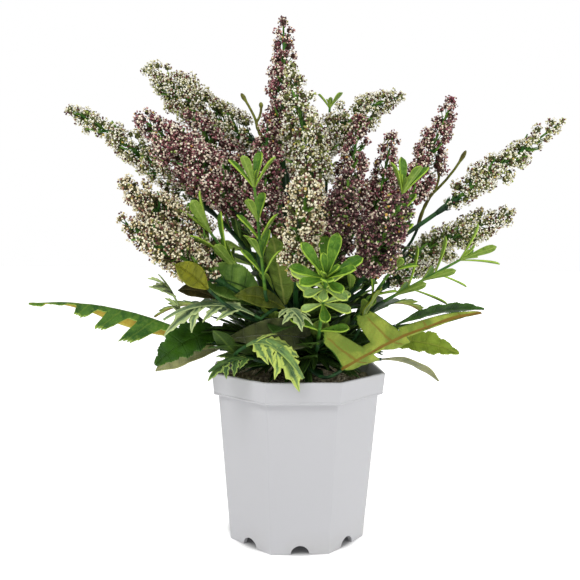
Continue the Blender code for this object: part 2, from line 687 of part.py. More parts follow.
def make_blade(blade: Blade, key: str, collection: bpy.types.Collection) -> None:
    """A leaf: both halves hang from an arched midrib, split into triangles, then given thickness."""
    foot, tip = to_metres(blade.foot), to_metres(blade.tip)
    arch = Vector((0.0, 0.0, blade.arch * MM))
    half_width = blade.half_width * MM
    shear = radians(blade.outline.shear)
    lower_shear = shear + radians(blade.outline.lower_lean)
    phase = random.Random(blade.name).uniform(0.0, tau)
    bm = bmesh.new()
    rows = []
    stations = [(0.0, BLADE_FOOT_HALF_WIDTH / half_width)] + leaf_edge(blade.outline)
    for t, share in stations:
        middle = bowed(foot, tip, arch, t)
        along = bowed_direction(foot, tip, arch, t)
        side, _ = across(along)
        side = Matrix.Rotation(radians(blade.roll), 3, along) @ side
        normal = side.cross(along).normalized()
        reach = share * half_width
        row = [bm.verts.new(middle)]
        for sign, portion, lean in ((1.0, 1.0, shear), (-1.0, blade.lower_share, lower_shear)):
            out = reach * (portion if t > 0.0 else 1.0)
            lean = lean if t > 0.0 else 0.0
            lift = blade.cup * out + blade.wave * out * sin(BLADE_WAVES * t + phase + sign)
            row.append(bm.verts.new(middle + side * (sign * out * cos(lean)) + along * (out * sin(lean))
                                    + normal * lift))
        rows.append(row)
    for lower, upper in zip(rows, rows[1:]):
        for edge in (1, 2):
            order = (lower[0], lower[edge], upper[edge], upper[0])
            bm.faces.new((order[0], order[1], order[2]))
            bm.faces.new((order[0], order[2], order[3]))
    end = bm.verts.new(tip)
    for edge in (1, 2):
        bm.faces.new((rows[-1][0], rows[-1][edge], end))
    leaf = add_mesh(blade.name, bm, collection)
    thick = leaf.modifiers.new("thickness", "SOLIDIFY")
    thick.thickness = BLADE_THICKNESS
    thick.offset = 0.0
    leaf.data.materials.append(finish_of(key))


def make_twig(twig: Twig, collection: bpy.types.Collection) -> None:
    """A bare twig: a stalk that forks, with a thicker bud at the end of each fork."""
    foot, fork = to_metres(twig.foot), to_metres(twig.fork)
    radii = [TWIG_FOOT_RADIUS, TWIG_WAIST_RADIUS, TWIG_FORK_RADIUS]
    stalk = add_tube(twig.name, [foot, foot.lerp(fork, TWIG_WAIST), fork], radii, 0, collection)
    arms = []
    for index, tip in enumerate(twig.tips):
        end = to_metres(tip)
        along = (end - fork).normalized()
        points = [fork - along * ARM_SINK, end - along * BUD_FOOT, end - along * BUD_MIDDLE, end]
        arms.append(add_tube(f"{twig.name}_{index}", points, list(ARM_RADII), 0, collection))
    fuse(stalk, arms)
    stalk.data.materials.clear()
    stalk.data.materials.append(finish_of("twig"))


def stem_points(end: Vector, heading: Vector, bow: Vector) -> list[Vector]:
    """A stem's line from the trunk's middle, out and up, arriving at its end along the heading."""
    reach = Vector((end.x, end.y, 0.0)).length
    rise = end.z - SOIL_LEVEL
    leave_z = SOIL_LEVEL + STEM_LEAVE_RISE * rise - STEM_LEAVE_REACH * reach
    leave_z = min(max(leave_z, LOWEST_BRANCH), HIGHEST_BRANCH)
    root = Vector((0.0, 0.0, leave_z))
    span = (end - root).length
    outward = Vector((end.x, end.y, 0.0)) / max(reach, 0.001)
    spread = STEM_SPREAD * min(1.0, reach / STEM_SPREAD_REACH)
    leave = (outward * spread + Vector((0.0, 0.0, 1.0))).normalized()
    straight = end - heading * STEM_STRAIGHT_END
    first = root + leave * (STEM_BEND * span)
    second = straight - heading * (STEM_BEND * span)
    points = []
    for i in range(STEM_SEGMENTS + 1):
        t = i / STEM_SEGMENTS
        u = 1.0 - t
        point = root * u ** 3 + first * (3 * u * u * t) + second * (3 * u * t * t) + straight * t ** 3
        points.append(point + bow * (4.0 * t * u))
    points.append(end)
    return points


def make_stems(collection: bpy.types.Collection) -> None:
    """The trunk and every stem that leaves it, one for each spike, sprig, leaf and twig, fused."""
    bm = bmesh.new()
    height = TRUNK_TOP - TRUNK_FOOT
    bmesh.ops.create_cone(bm, cap_ends=True, segments=TRUNK_SIDES, radius1=TRUNK_RADIUS,
                          radius2=TRUNK_TOP_RADIUS, depth=height,
                          matrix=Matrix.Translation((0.0, 0.0, TRUNK_FOOT + 0.5 * height)))
    trunk = add_mesh("stems", bm, collection)
    routes = []
    for spike in (*PURPLE_SPIKES, *CREAM_SPIKES):
        foot, tip = to_metres(spike.foot), to_metres(spike.tip)
        heading = bowed_direction(foot, tip, to_metres(spike.bow), 0.0)
        routes.append((foot, heading, spike.stem_bow, SPIKE_STEM_RADIUS))
    for sprig in SPRIGS:
        foot, tip = to_metres(sprig.foot), to_metres(sprig.tip)
        heading = bowed_direction(foot, tip, to_metres(sprig.bow), 0.0)
        routes.append((foot, heading, sprig.stem_bow, SPRIG_STEM_RADIUS))
    for blade in (*LOBED_LEAVES, *CUT_LEAVES, *FELTED_LEAVES, *OVATE_LEAVES):
        foot, tip = to_metres(blade.foot), to_metres(blade.tip)
        heading = bowed_direction(foot, tip, Vector((0.0, 0.0, blade.arch * MM)), 0.0)
        routes.append((foot, heading, blade.stem_bow, LEAF_STEM_RADIUS))
    for twig in TWIGS:
        foot, fork = to_metres(twig.foot), to_metres(twig.fork)
        routes.append((foot, (fork - foot).normalized(), (0.0, 0.0, 0.0), LEAF_STEM_RADIUS))
    stems = []
    for index, (foot, heading, bow, radius) in enumerate(routes):
        points = stem_points(foot - heading * SEAT_GAP, heading, to_metres(bow))
        slimming = (STEM_FOOT_SHARE - 1.0) / STEM_SEGMENTS
        radii = [radius * (STEM_FOOT_SHARE - slimming * i) for i in range(len(points))]
        stems.append(add_tube(f"stem_{index}", points, radii, 0, collection))
    for strap in range(STRAP_COUNT):
        turn = strap * GOLDEN_ANGLE
        heading = Vector((cos(turn) * cos(STRAP_RISE), sin(turn) * cos(STRAP_RISE), sin(STRAP_RISE)))
        length = STRAP_LENGTH * (STRAP_SHORTEST + STRAP_LONGER * cos(5.0 * turn))
        stems.append(spoon_leaf(f"strap_{strap}", Vector((0.0, 0.0, STRAP_ROOT)), heading,
                                Vector((0.0, 0.0, 1.0)), length, STRAP_WIDTH, collection, STRAP_DROOP))
    fuse(trunk, stems)
    trunk.data.materials.clear()
    trunk.data.materials.append(finish_of("stem"))


def main() -> None:
    """Build every piece of the potted plant."""
    clear_scene()
    collection = new_collection("potted_lavender")
    cutters = new_collection("cutters")
    make_pot(collection, cutters)
    make_soil(collection, cutters)
    make_stems(collection)
    for spike in PURPLE_SPIKES:
        make_spike(spike, "purple", collection)
    for spike in CREAM_SPIKES:
        make_spike(spike, "cream", collection)
    for sprig in SPRIGS:
        make_sprig(sprig, collection)
    for leaves, key in ((LOBED_LEAVES, "lobed"), (CUT_LEAVES, "cut"), (FELTED_LEAVES, "felted"),
                        (OVATE_LEAVES, "ovate")):
        for blade in leaves:
            make_blade(blade, key, collection)
    for twig in TWIGS:
        make_twig(twig, collection)


if __name__ == "__main__":
    main()
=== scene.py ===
"""A potted arrangement of plum and cream flower spikes over mixed foliage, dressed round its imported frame.

Units are metres, and places in the lists of pieces are in millimetres. +Z is up and the front is towards -Y.
"""

import logging
import random
from dataclasses import dataclass
from enum import Enum
from math import cos, pi, radians, sin, tau

import bpy
import numpy as np
from mathutils import Matrix, Vector, noise


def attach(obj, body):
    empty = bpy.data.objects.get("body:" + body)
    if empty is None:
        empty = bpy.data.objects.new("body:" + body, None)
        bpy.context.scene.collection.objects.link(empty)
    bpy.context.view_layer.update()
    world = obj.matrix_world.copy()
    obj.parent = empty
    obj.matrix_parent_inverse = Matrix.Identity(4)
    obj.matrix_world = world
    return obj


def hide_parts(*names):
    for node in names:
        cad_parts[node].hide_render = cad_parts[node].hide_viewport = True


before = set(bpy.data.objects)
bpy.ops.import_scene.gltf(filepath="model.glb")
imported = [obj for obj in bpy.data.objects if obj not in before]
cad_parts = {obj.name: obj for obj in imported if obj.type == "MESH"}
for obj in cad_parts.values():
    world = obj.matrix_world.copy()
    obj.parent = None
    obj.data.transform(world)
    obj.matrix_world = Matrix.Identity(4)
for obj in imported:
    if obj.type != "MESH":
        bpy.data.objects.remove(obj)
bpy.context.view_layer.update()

LOG = logging.getLogger("potted_spikes")
MM = 0.001
BODY = "root"
GOLDEN_ANGLE = radians(137.5)
IMAGE_PIXELS = 580
MARK = "mark"
UP = (0.0, 0.0, 1.0)
BACK = (0.0, 1.0, 0.0)
NEAR_UPRIGHT = 0.05
HASH_START = 7
HASH_STEP = 131
HASH_SIZE = 2_147_483_647
COARSE_ACROSS = (-1.0, -0.55, -0.12, 0.0, 0.12, 0.55, 1.0)

Place = tuple[float, float, float]
Colour = tuple[float, float, float]


def tint(red: int, green: int, blue: int) -> Colour:
    """A display colour of 0 to 255 a channel as the linear colour that shaders take.

    Args:
        red: The red channel.
        green: The green channel.
        blue: The blue channel.

    Returns:
        Three linear values from 0 to 1.
    """
    shares = [channel / 255.0 for channel in (red, green, blue)]
    return tuple(s / 12.92 if s < 0.04045 else ((s + 0.055) / 1.055) ** 2.4 for s in shares)


def tints(codes: str) -> tuple[Colour, ...]:
    """The linear colours of display colours that are given as six hexadecimal digits each."""
    return tuple(tint(*bytes.fromhex(code)) for code in codes.split())


class Value:
    """A number that varies over a surface: arithmetic on it adds Math nodes."""

    def __init__(self, shader: "Shader", socket: bpy.types.NodeSocket) -> None:
        """Wrap an output socket of the shader's tree."""
        self.shader = shader
        self.socket = socket

    def _math(self, operation: str, *terms: "Value | float") -> "Value":
        """A Math node of the operation on the terms, in order."""
        made = self.shader.node("ShaderNodeMath", {"operation": operation}, dict(enumerate(terms)))
        return Value(self.shader, made.outputs[0])

    def __add__(self, other: "Value | float") -> "Value":
        """The sum."""
        return self._math("ADD", self, other)

    __radd__ = __add__

    def __sub__(self, other: "Value | float") -> "Value":
        """The difference."""
        return self._math("SUBTRACT", self, other)

    def __rsub__(self, other: "Value | float") -> "Value":
        """The difference from another."""
        return self._math("SUBTRACT", other, self)

    def __mul__(self, other: "Value | float") -> "Value":
        """The product."""
        return self._math("MULTIPLY", self, other)

    __rmul__ = __mul__

    def __abs__(self) -> "Value":
        """The absolute value."""
        return self._math("ABSOLUTE", self)

    def fraction(self) -> "Value":
        """What is left over the whole number below."""
        return self._math("FRACT", self)

    def larger(self, other: "Value | float") -> "Value":
        """The larger of the two."""
        return self._math("MAXIMUM", self, other)

    def rising(self, low: float, high: float) -> "Value":
        """A smooth step from 0 at low to 1 at high.

        Args:
            low: Where the step starts.
            high: Where it ends.

        Returns:
            The step, between 0 and 1.
        """
        step = self.shader.node("ShaderNodeMapRange", {"interpolation_type": "SMOOTHSTEP", "clamp": True},
                                {"Value": self, "From Min": low, "From Max": high})
        return Value(self.shader, step.outputs["Result"])

    def falling(self, low: float, high: float) -> "Value":
        """A smooth step from 1 at low to 0 at high."""
        return 1.0 - self.rising(low, high)


class Shader:
    """A material or a surround under construction, with one method that adds any node."""

    def __init__(self, holder: bpy.types.Material | bpy.types.World, places: str = "Object") -> None:
        """Start on an empty tree.

        Args:
            holder: The material or the surround.
            places: The coordinates that its patterns lie on.
        """
        self.holder = holder
        holder.use_nodes = True
        self.tree = holder.node_tree
        self.tree.nodes.clear()
        self.places = self.node("ShaderNodeTexCoord").outputs[places]

    @classmethod
    def named(cls, name: str) -> "Shader":
        """Start a new material of the name."""
        return cls(bpy.data.materials.new(name))

    def node(self, kind: str, settings: dict | None = None, inputs: dict | None = None) -> bpy.types.Node:
        """Add a node.

        Args:
            kind: The node's type.
            settings: Properties to set first; a ramp's stops go under "stops".
            inputs: Values or links by socket name or number.

        Returns:
            The node.
        """
        made = self.tree.nodes.new(kind)
        for key, value in (settings or {}).items():
            if key == "stops":
                self._set_stops(made.color_ramp, value)
            else:
                setattr(made, key, value)
        for key, value in (inputs or {}).items():
            self._feed(made.inputs[key], value)
        return made

    def _feed(self, socket: bpy.types.NodeSocket, value: object) -> None:
        """Link the socket or set its constant.

        Args:
            socket: The input.
            value: A value, an output socket or a constant.
        """
        if isinstance(value, Value):
            self.tree.links.new(value.socket, socket)
        elif isinstance(value, bpy.types.NodeSocket):
            self.tree.links.new(value, socket)
        elif isinstance(value, tuple) and len(value) == 3 and socket.type == "RGBA":
            socket.default_value = (*value, 1.0)
        else:
            socket.default_value = value

    def _set_stops(self, ramp: bpy.types.ColorRamp, stops: tuple) -> None:
        """Give the ramp its stops.

        Args:
            ramp: The ramp.
            stops: A place and a colour each.
        """
        while len(ramp.elements) < len(stops):
            ramp.elements.new(1.0)
        for element, (place, colour) in zip(ramp.elements, stops):
            element.position = place
            element.color = (*colour, 1.0)

    def noise(self, scale: float, detail: float = 3.0, distortion: float = 0.0) -> Value:
        """Noise with the given number of features to a metre."""
        made = self.node("ShaderNodeTexNoise", {}, {"Vector": self.places, "Scale": scale, "Detail": detail,
                                                    "Distortion": distortion})
        return Value(self, made.outputs[0])

    def cell_edges(self, scale: float) -> Value:
        """The distance to the nearest edge between cells, with the given number of cells to a metre."""
        made = self.node("ShaderNodeTexVoronoi", {"feature": "DISTANCE_TO_EDGE"},
                         {"Vector": self.places, "Scale": scale})
        return Value(self, made.outputs["Distance"])

    def marks(self) -> tuple[Value, Value, Value]:
        """The three values that the mesh carries at each point.

        Returns:
            The values, in order.
        """
        carried = self.node("ShaderNodeAttribute", {"attribute_name": MARK})
        split = self.node("ShaderNodeSeparateXYZ", {}, {0: carried.outputs["Vector"]})
        return tuple(Value(self, output) for output in split.outputs[:3])

    def height(self) -> Value:
        """How high a place lies, in the shader's coordinates."""
        split = self.node("ShaderNodeSeparateXYZ", {}, {0: self.places})
        return Value(self, split.outputs[2])

    def blend(self, share: "Value | float", low: object, high: object) -> bpy.types.NodeSocket:
        """One colour over another.

        Args:
            share: How much of the second shows.
            low: The first colour.
            high: The second colour.

        Returns:
            The mixed colour's socket.
        """
        made = self.node("ShaderNodeMix", {"data_type": "RGBA", "clamp_factor": True},
                         {0: share, 6: low, 7: high})
        return made.outputs[2]

    def ramp(self, share: Value, stops: tuple, interpolation: str = "LINEAR") -> bpy.types.NodeSocket:
        """A colour picked from stops by a value.

        Args:
            share: Where to pick, from 0 to 1.
            stops: A place and a colour each.
            interpolation: How it passes from stop to stop.

        Returns:
            The colour's socket.
        """
        made = self.node("ShaderNodeValToRGB", {"stops": stops}, {0: share})
        made.color_ramp.interpolation = interpolation
        return made.outputs[0]

    def bump(self, height: Value, depth: float, strength: float = 1.0) -> bpy.types.NodeSocket:
        """The normal of a surface raised by the height times the depth in metres."""
        made = self.node("ShaderNodeBump", {}, {"Strength": strength, "Distance": depth, "Height": height})
        return made.outputs[0]

    def close(self, colour: object, roughness: object, normal: object = None,
              **constants: float) -> bpy.types.Material:
        """Finish the material with a Principled shader.

        Args:
            colour: The base colour, a constant or a socket.
            roughness: The roughness, a constant or a value.
            normal: The normal's socket, if the surface has relief.
            constants: Other inputs by name, with _ for a space.

        Returns:
            The material.
        """
        inputs = {"Base Color": colour, "Roughness": roughness}
        inputs.update({key.replace("_", " "): value for key, value in constants.items()})
        if normal is not None:
            inputs["Normal"] = normal
        surface = self.node("ShaderNodeBsdfPrincipled", {}, inputs)
        self.node("ShaderNodeOutputMaterial", {}, {0: surface.outputs[0]})
        return self.holder


@dataclass(frozen=True)
class FloretFinish:
    """Dry, papery florets: each takes a colour of its own from the stops, round a heart of another; pale
    flecks on the purple ones are painted highlights, and painted shade darkens the heart and the florets deep
    in the spike.
    """

    name: str
    stops: tuple[tuple[float, Colour], ...]
    fleck: Colour
    speck_and_glint_share: float
    heart: Colour
    heart_shade: Colour

    DEEP_SHADE = tint(34, 36, 12)
    FLECK_SCALE = 1300.0
    HEART_SCALE = 620.0
    GRAIN_SCALE = 2600.0

    def make(self) -> bpy.types.Material:
        """Build the material.

        Returns:
            The material.
        """
        shader = Shader.named(self.name)
        pick, depth, within = shader.marks()
        own = shader.ramp(pick, self.stops, "CONSTANT")
        # Flecks within each floret: dark specks of their own colour on the cream and sand florets; on the
        # purple and plum florets the pale flecks are painted highlights.
        fleck = shader.noise(self.FLECK_SCALE, 2.0).rising(0.52, 0.62)
        specked_and_glinted = shader.blend(fleck * self.speck_and_glint_share, own, self.fleck)
        # The heart: its own dark colour mottled with painted shade, where it shows between the florets.
        mottle = shader.noise(self.HEART_SCALE, 2.0).rising(0.40, 0.60)
        heart = shader.blend(mottle, self.heart, self.heart_shade)
        coloured = shader.blend(within, specked_and_glinted, heart)
        # Painted shade: florets that lie deep in the spike are darkened towards DEEP_SHADE.
        shaded = shader.blend(depth.rising(0.42, 1.0) * 0.72, coloured, self.DEEP_SHADE)
        grain = shader.noise(self.GRAIN_SCALE, 2.0)
        return shader.close(shaded, 0.72 + 0.25 * grain, shader.bump(grain, 0.0004, 0.8),
                            Specular_IOR_Level=0.3)


@dataclass(frozen=True)
class LeafFinish:
    """A leaf's upper or lower face: veins, margin, blotches and a fine net, with painted shade in the hollows
    along the side veins.
    """

    name: str
    face: Colour
    deep: Colour
    vein: Colour
    margin: Colour
    veins: float
    vein_place: float
    margin_width: float
    roughness: float
    vein_strength: float = 1.0
    fuzz: float = 0.0
    rib_mm: float = 0.7
    tip_pale: float = 0.0
    margin_strength: float = 1.0

    BLOTCH_SCALE = 75.0
    MOTTLE_SCALE = 420.0
    WANDER_SCALE = 130.0
    NET_SCALE = 560.0
    MARGIN_SCALE = 240.0
    GRAIN_SCALE = 2600.0

    def make(self) -> bpy.types.Material:
        """Build the material.

        Returns:
            The material.
        """
        shader = Shader.named(self.name)
        along, over, width = shader.marks()
        aside = abs(over)
        blotch = shader.noise(self.BLOTCH_SCALE, 4.0, 0.8)
        base = shader.blend(blotch.rising(0.38, 0.66), self.face, self.deep)
        mottle = shader.noise(self.MOTTLE_SCALE, 3.0)
        base = shader.blend(mottle.rising(0.45, 0.78) * 0.3, base, self.margin)
        wander = shader.noise(self.WANDER_SCALE, 2.0) * 0.10
        offset = abs((along * self.veins + self.vein_place + wander).fraction() - 0.5)
        side_vein = (offset + aside * 0.02).falling(0.012, 0.060) * aside.falling(0.80, 1.0)
        midrib = (aside * width).falling(0.5 * self.rib_mm, 1.3 * self.rib_mm)
        # Painted shade: the leaf is darkened in the hollows along its side veins.
        vein_hollow_shade = offset.falling(0.0, 0.30) * 0.5
        net = shader.cell_edges(self.NET_SCALE).falling(0.02, 0.12) * 0.4
        coloured = shader.blend(vein_hollow_shade * 0.55, base, self.deep)
        coloured = shader.blend(side_vein * (0.55 * self.vein_strength), coloured, self.vein)
        coloured = shader.blend(net * (0.4 * self.vein_strength), coloured, self.vein)
        coloured = shader.blend(midrib * self.vein_strength, coloured, self.vein)
        reach = aside + along * self.tip_pale + shader.noise(self.MARGIN_SCALE, 3.0) * 0.22 - 0.11
        edge = reach.rising(1.0 - 1.6 * self.margin_width, 1.03 - 0.3 * self.margin_width)
        coloured = shader.blend(edge * self.margin_strength, coloured, self.margin)
        grain = shader.noise(self.GRAIN_SCALE, 2.0)
        relief = side_vein.larger(midrib) * -0.7 - net * 0.6 + grain * (0.25 + self.fuzz)
        return shader.close(coloured, self.roughness + 0.2 * mottle, shader.bump(relief, 0.0005, 0.9),
                            Specular_IOR_Level=0.20, Sheen_Weight=self.fuzz, Sheen_Roughness=0.5)


@dataclass(frozen=True)
class StalkFinish:
    """A stem's skin: streaks along it in two greens, with a slight gloss."""

    name: str
    face: Colour
    deep: Colour
    roughness: float

    PATCH_SCALE = 160.0
    FLECK_SCALE = 1400.0

    def make(self) -> bpy.types.Material:
        """Build the material.

        Returns:
            The material.
        """
        shader = Shader.named(self.name)
        patch = shader.noise(self.PATCH_SCALE, 3.0, 0.4)
        fleck = shader.noise(self.FLECK_SCALE, 2.0)
        colour = shader.blend(patch.rising(0.35, 0.65), self.deep, self.face)
        colour = shader.blend(fleck.rising(0.60, 0.75) * 0.4, colour, self.face)
        return shader.close(colour, self.roughness + 0.2 * fleck, shader.bump(fleck, 0.0002, 0.6),
                            Specular_IOR_Level=0.25)


@dataclass(frozen=True)
class SoilFinish:
    """Potting mix: tan and brown crumbs, each of its own shade."""

    name: str
    dark: Colour
    middle: Colour
    pale: Colour

    PATCH_SCALE = 240.0
    GRAIN_SCALE = 1800.0

    def make(self) -> bpy.types.Material:
        """Build the material.

        Returns:
            The material.
        """
        shader = Shader.named(self.name)
        pick, _, _ = shader.marks()
        patch = shader.noise(self.PATCH_SCALE, 4.0)
        share = pick * 0.65 + patch * 0.5
        colour = shader.ramp(share, ((0.15, self.dark), (0.55, self.middle), (0.92, self.pale)))
        grain = shader.noise(self.GRAIN_SCALE, 4.0)
        colour = shader.blend(grain.rising(0.5, 0.8) * 0.4, colour, self.dark)
        return shader.close(colour, 0.97, shader.bump(grain, 0.0006), Specular_IOR_Level=0.15)


@dataclass(frozen=True)
class PlasticFinish:
    """Satin moulded plastic: faint ripple, soft smudges and a little dust near the foot."""

    name: str
    face: Colour
    dust: Colour

    CLOUD_SCALE = 28.0
    SCUFF_SCALE = 700.0
    RIPPLE_SCALE = 320.0
    DUST_UP_TO = 0.018

    def make(self) -> bpy.types.Material:
        """Build the material.

        Returns:
            The material.
        """
        shader = Shader.named(self.name)
        cloud = shader.noise(self.CLOUD_SCALE, 4.0, 0.5)
        scuff = shader.noise(self.SCUFF_SCALE, 2.0).rising(0.62, 0.74)
        low = shader.height().falling(0.0, self.DUST_UP_TO) * cloud.rising(0.35, 0.7)
        colour = shader.blend(low * 0.35 + scuff * 0.05, self.face, self.dust)
        ripple = shader.noise(self.RIPPLE_SCALE, 2.0)
        rough = 0.34 + 0.16 * cloud + 0.10 * scuff
        return shader.close(colour, rough, shader.bump(ripple, 0.00012, 0.35), Specular_IOR_Level=0.45)


@dataclass(frozen=True)
class FloorFinish:
    """A plain pale studio floor with a trace of tooth, lit from beneath as a light table is, with a painted
    contact shadow round the pot's foot in both its colour and its glow.
    """

    name: str
    face: Colour
    seat_shade: Colour
    near_glow: Colour
    far_glow: Colour
    glow: float
    seat_radius: float
    seat_depth: float

    TOOTH_SCALE = 40.0
    NEAR_UP_TO = 0.15
    FAR_FROM = 1.6

    def make(self) -> bpy.types.Material:
        """Build the material.

        Returns:
            The material.
        """
        shader = Shader.named(self.name)
        tooth = shader.noise(self.TOOTH_SCALE, 3.0)
        length = shader.node("ShaderNodeVectorMath", {"operation": "LENGTH"}, {0: shader.places})
        reach = Value(shader, length.outputs["Value"])
        # Painted contact shadow: a darker ring round the pot's foot, in the base colour and in the glow.
        under = reach.falling(0.85 * self.seat_radius, self.seat_radius)
        near = shader.blend(under, self.near_glow, self.seat_shade)
        face = shader.blend(under * self.seat_depth, self.face, self.seat_shade)
        far = reach.rising(self.NEAR_UP_TO, self.FAR_FROM)
        return shader.close(face, 0.75 + 0.15 * tooth, Specular_IOR_Level=0.2, Emission_Strength=self.glow,
                            Emission_Color=shader.blend(far, near, self.far_glow))


class Finish(Enum):
    """The finishes of the arrangement."""

    # Each floret finish ends with its fleck colour and share, then its heart's colour and the painted shade
    # mottled into the heart; the purple and plum flecks are painted highlights.
    PURPLE = FloretFinish("purple_florets", (
        (0.00, tint(62, 26, 32)), (0.18, tint(108, 46, 60)), (0.38, tint(142, 74, 88)),
        (0.53, tint(180, 126, 124)), (0.61, tint(232, 216, 194)), (0.88, tint(250, 240, 220)),
        (0.955, tint(118, 140, 56)), (0.990, tint(198, 156, 70))), tint(236, 220, 200), 0.34,
        tint(82, 46, 44), tint(40, 36, 18))
    PLUM = FloretFinish("plum_florets", (
        (0.00, tint(48, 22, 28)), (0.24, tint(84, 42, 52)), (0.48, tint(116, 66, 74)),
        (0.66, tint(158, 114, 108)), (0.73, tint(228, 210, 188)), (0.92, tint(104, 124, 50)),
        (0.985, tint(190, 150, 60))), tint(226, 206, 186), 0.26, tint(66, 38, 36), tint(30, 28, 14))
    CREAM = FloretFinish("cream_florets", (
        (0.00, tint(84, 46, 46)), (0.15, tint(144, 104, 88)), (0.21, tint(196, 190, 134)),
        (0.34, tint(230, 226, 192)), (0.52, tint(252, 250, 234)), (0.92, tint(158, 172, 84)),
        (0.985, tint(208, 182, 92))), tint(88, 50, 48), 0.52, tint(110, 114, 62), tint(50, 56, 24))
    SAND = FloretFinish("sand_florets", (
        (0.00, tint(88, 50, 48)), (0.16, tint(152, 110, 92)), (0.23, tint(204, 188, 140)),
        (0.36, tint(232, 220, 186)), (0.55, tint(252, 246, 216)), (0.93, tint(206, 184, 104)),
        (0.955, tint(140, 154, 76))), tint(96, 58, 52), 0.52, tint(100, 94, 54), tint(48, 46, 22))
    STALK = StalkFinish("green_stalks", tint(34, 76, 28), tint(12, 38, 18), 0.46)
    BRIGHT_STALK = StalkFinish("bright_stalks", tint(88, 126, 36), tint(46, 92, 28), 0.48)
    BARK = StalkFinish("twig_bark", tint(118, 124, 50), tint(84, 80, 32), 0.62)
    SPOON_TOP = LeafFinish("spoon_leaf_top", *tints("547e22 366014 709634 96b63c"), 5.0, 0.0, 0.06, 0.40,
                           0.30, rib_mm=0.35)
    SPOON_UNDER = LeafFinish("spoon_leaf_under", *tints("7c983c 60802c a0b65a a0b84c"), 5.0, 0.0, 0.10,
                             0.48, 0.4, rib_mm=0.5)
    PALE_TOP = LeafFinish("pale_leaf_top", *tints("94b068 769850 aac07a b2c85a"), 5.0, 0.0, 0.09, 0.44,
                          0.35, rib_mm=0.4)
    LANCE_TOP = LeafFinish("lance_leaf_top", *tints("26420e 0f2208 3c5818 324e14"), 7.0, 0.0, 0.08, 0.42,
                           0.5, rib_mm=0.5)
    LANCE_UNDER = LeafFinish("lance_leaf_under", *tints("385018 243a10 526826 40581a"), 7.0, 0.0, 0.08,
                             0.50, 0.6, rib_mm=0.6)
    LOBED_TOP = LeafFinish("lobed_leaf_top", *tints("30560a 163606 406416 3c6212"), 5.0, 0.28, 0.05, 0.40,
                           0.35, rib_mm=0.5)
    LOBED_UNDER = LeafFinish("lobed_leaf_under", *tints("92a03a 627a24 705a16 6e842c"), 5.0, 0.28, 0.05,
                             0.48, 0.9, rib_mm=1.5)
    BROAD_UNDER = LeafFinish("broad_leaf_under", *tints("92a03c 667c28 765e1a 6e842c"), 4.0, 0.05, 0.05,
                             0.48, 1.3, rib_mm=1.4)
    FOLDED_TOP = LeafFinish("folded_leaf_top", *tints("4a7422 245016 7e983c 8ea842"), 5.0, 0.28, 0.08,
                            0.40, 0.5, rib_mm=0.6)
    OCHRE_UNDER = LeafFinish("lobed_leaf_ochre", *tints("b29e36 927c26 beae4c b6b04a"), 5.0, 0.28, 0.08,
                             0.48, 0.5, rib_mm=1.0)
    CUT_TOP = LeafFinish("cut_leaf_top", *tints("607a54 3a563e 849c6a bccc8a"), 3.0, 0.28, 0.48, 0.46,
                         0.22, rib_mm=0.4, tip_pale=0.32, margin_strength=0.85)
    CUT_UNDER = LeafFinish("cut_leaf_under", *tints("8aa060 6a844e a6b876 b4c474"), 3.0, 0.28, 0.34, 0.52,
                           0.35, rib_mm=0.5, tip_pale=0.25, margin_strength=0.8)
    CUT_BRIGHT = LeafFinish("cut_leaf_bright", *tints("66864c 3a5a3c 8ca65c baca62"), 3.0, 0.28, 0.34,
                            0.42, 0.22, rib_mm=0.4, tip_pale=0.48, margin_strength=0.85)
    CUT_DEEP = LeafFinish("cut_leaf_deep", *tints("486a30 264422 688646 98b058"), 3.0, 0.28, 0.24, 0.44,
                          0.22, rib_mm=0.4, tip_pale=0.2, margin_strength=0.75)
    VEINED_TOP = LeafFinish("veined_leaf_top", *tints("648232 3e5e1c 263e12 7e984c"), 5.0, 0.0, 0.07,
                            0.44, 0.85, rib_mm=0.7)
    AMBER_TOP = LeafFinish("amber_leaf_top", *tints("7a7c1a 585e10 626214 8a8c28"), 5.0, 0.0, 0.06, 0.40,
                           0.4, rib_mm=0.6)
    BROWN_TOP = LeafFinish("brown_leaf_top", *tints("423c1a 262610 565026 524e24"), 6.0, 0.0, 0.06, 0.46,
                           0.4, rib_mm=0.6)
    DUSKY_TOP = LeafFinish("dusky_leaf_top", *tints("4e5812 2e3a0c 687022 626c1e"), 6.0, 0.0, 0.06, 0.42,
                           0.5, rib_mm=0.7)
    FELTED_TOP = LeafFinish("felted_leaf_top", *tints("4a5228 2e361a 586032 565e30"), 7.0, 0.0, 0.07,
                            0.72, 0.3, 0.25, rib_mm=0.7)
    FELTED_UNDER = LeafFinish("felted_leaf_under", *tints("888a56 686e40 a0a06a 949660"), 7.0, 0.0, 0.06,
                              0.76, 0.5, 0.3, rib_mm=0.9)
    OVATE_TOP = LeafFinish("ovate_leaf_top", *tints("486c24 2a4a14 7a9446 5c7c2a"), 6.0, 0.0, 0.07, 0.44,
                           0.9, rib_mm=0.7)
    OVATE_UNDER = LeafFinish("ovate_leaf_under", *tints("6c8232 526c26 929e4e 768c36"), 6.0, 0.0, 0.07,
                             0.50, 0.8, rib_mm=0.9)
    OLIVE_TOP = LeafFinish("olive_leaf_top", *tints("687410 42520a 848c22 7c881c"), 6.0, 0.0, 0.07, 0.44,
                           0.5, rib_mm=0.7)
    GOLDEN_TOP = LeafFinish("golden_leaf_top", *tints("869c2c 607a1e 9eaa42 96a838"), 6.0, 0.0, 0.07,
                            0.44, 0.5, rib_mm=0.8)
    SOIL = SoilFinish("potting_mix", tint(106, 97, 78), tint(160, 150, 124), tint(208, 200, 174))
    PLASTIC = PlasticFinish("pot_plastic", tint(172, 172, 175), tint(158, 156, 150))
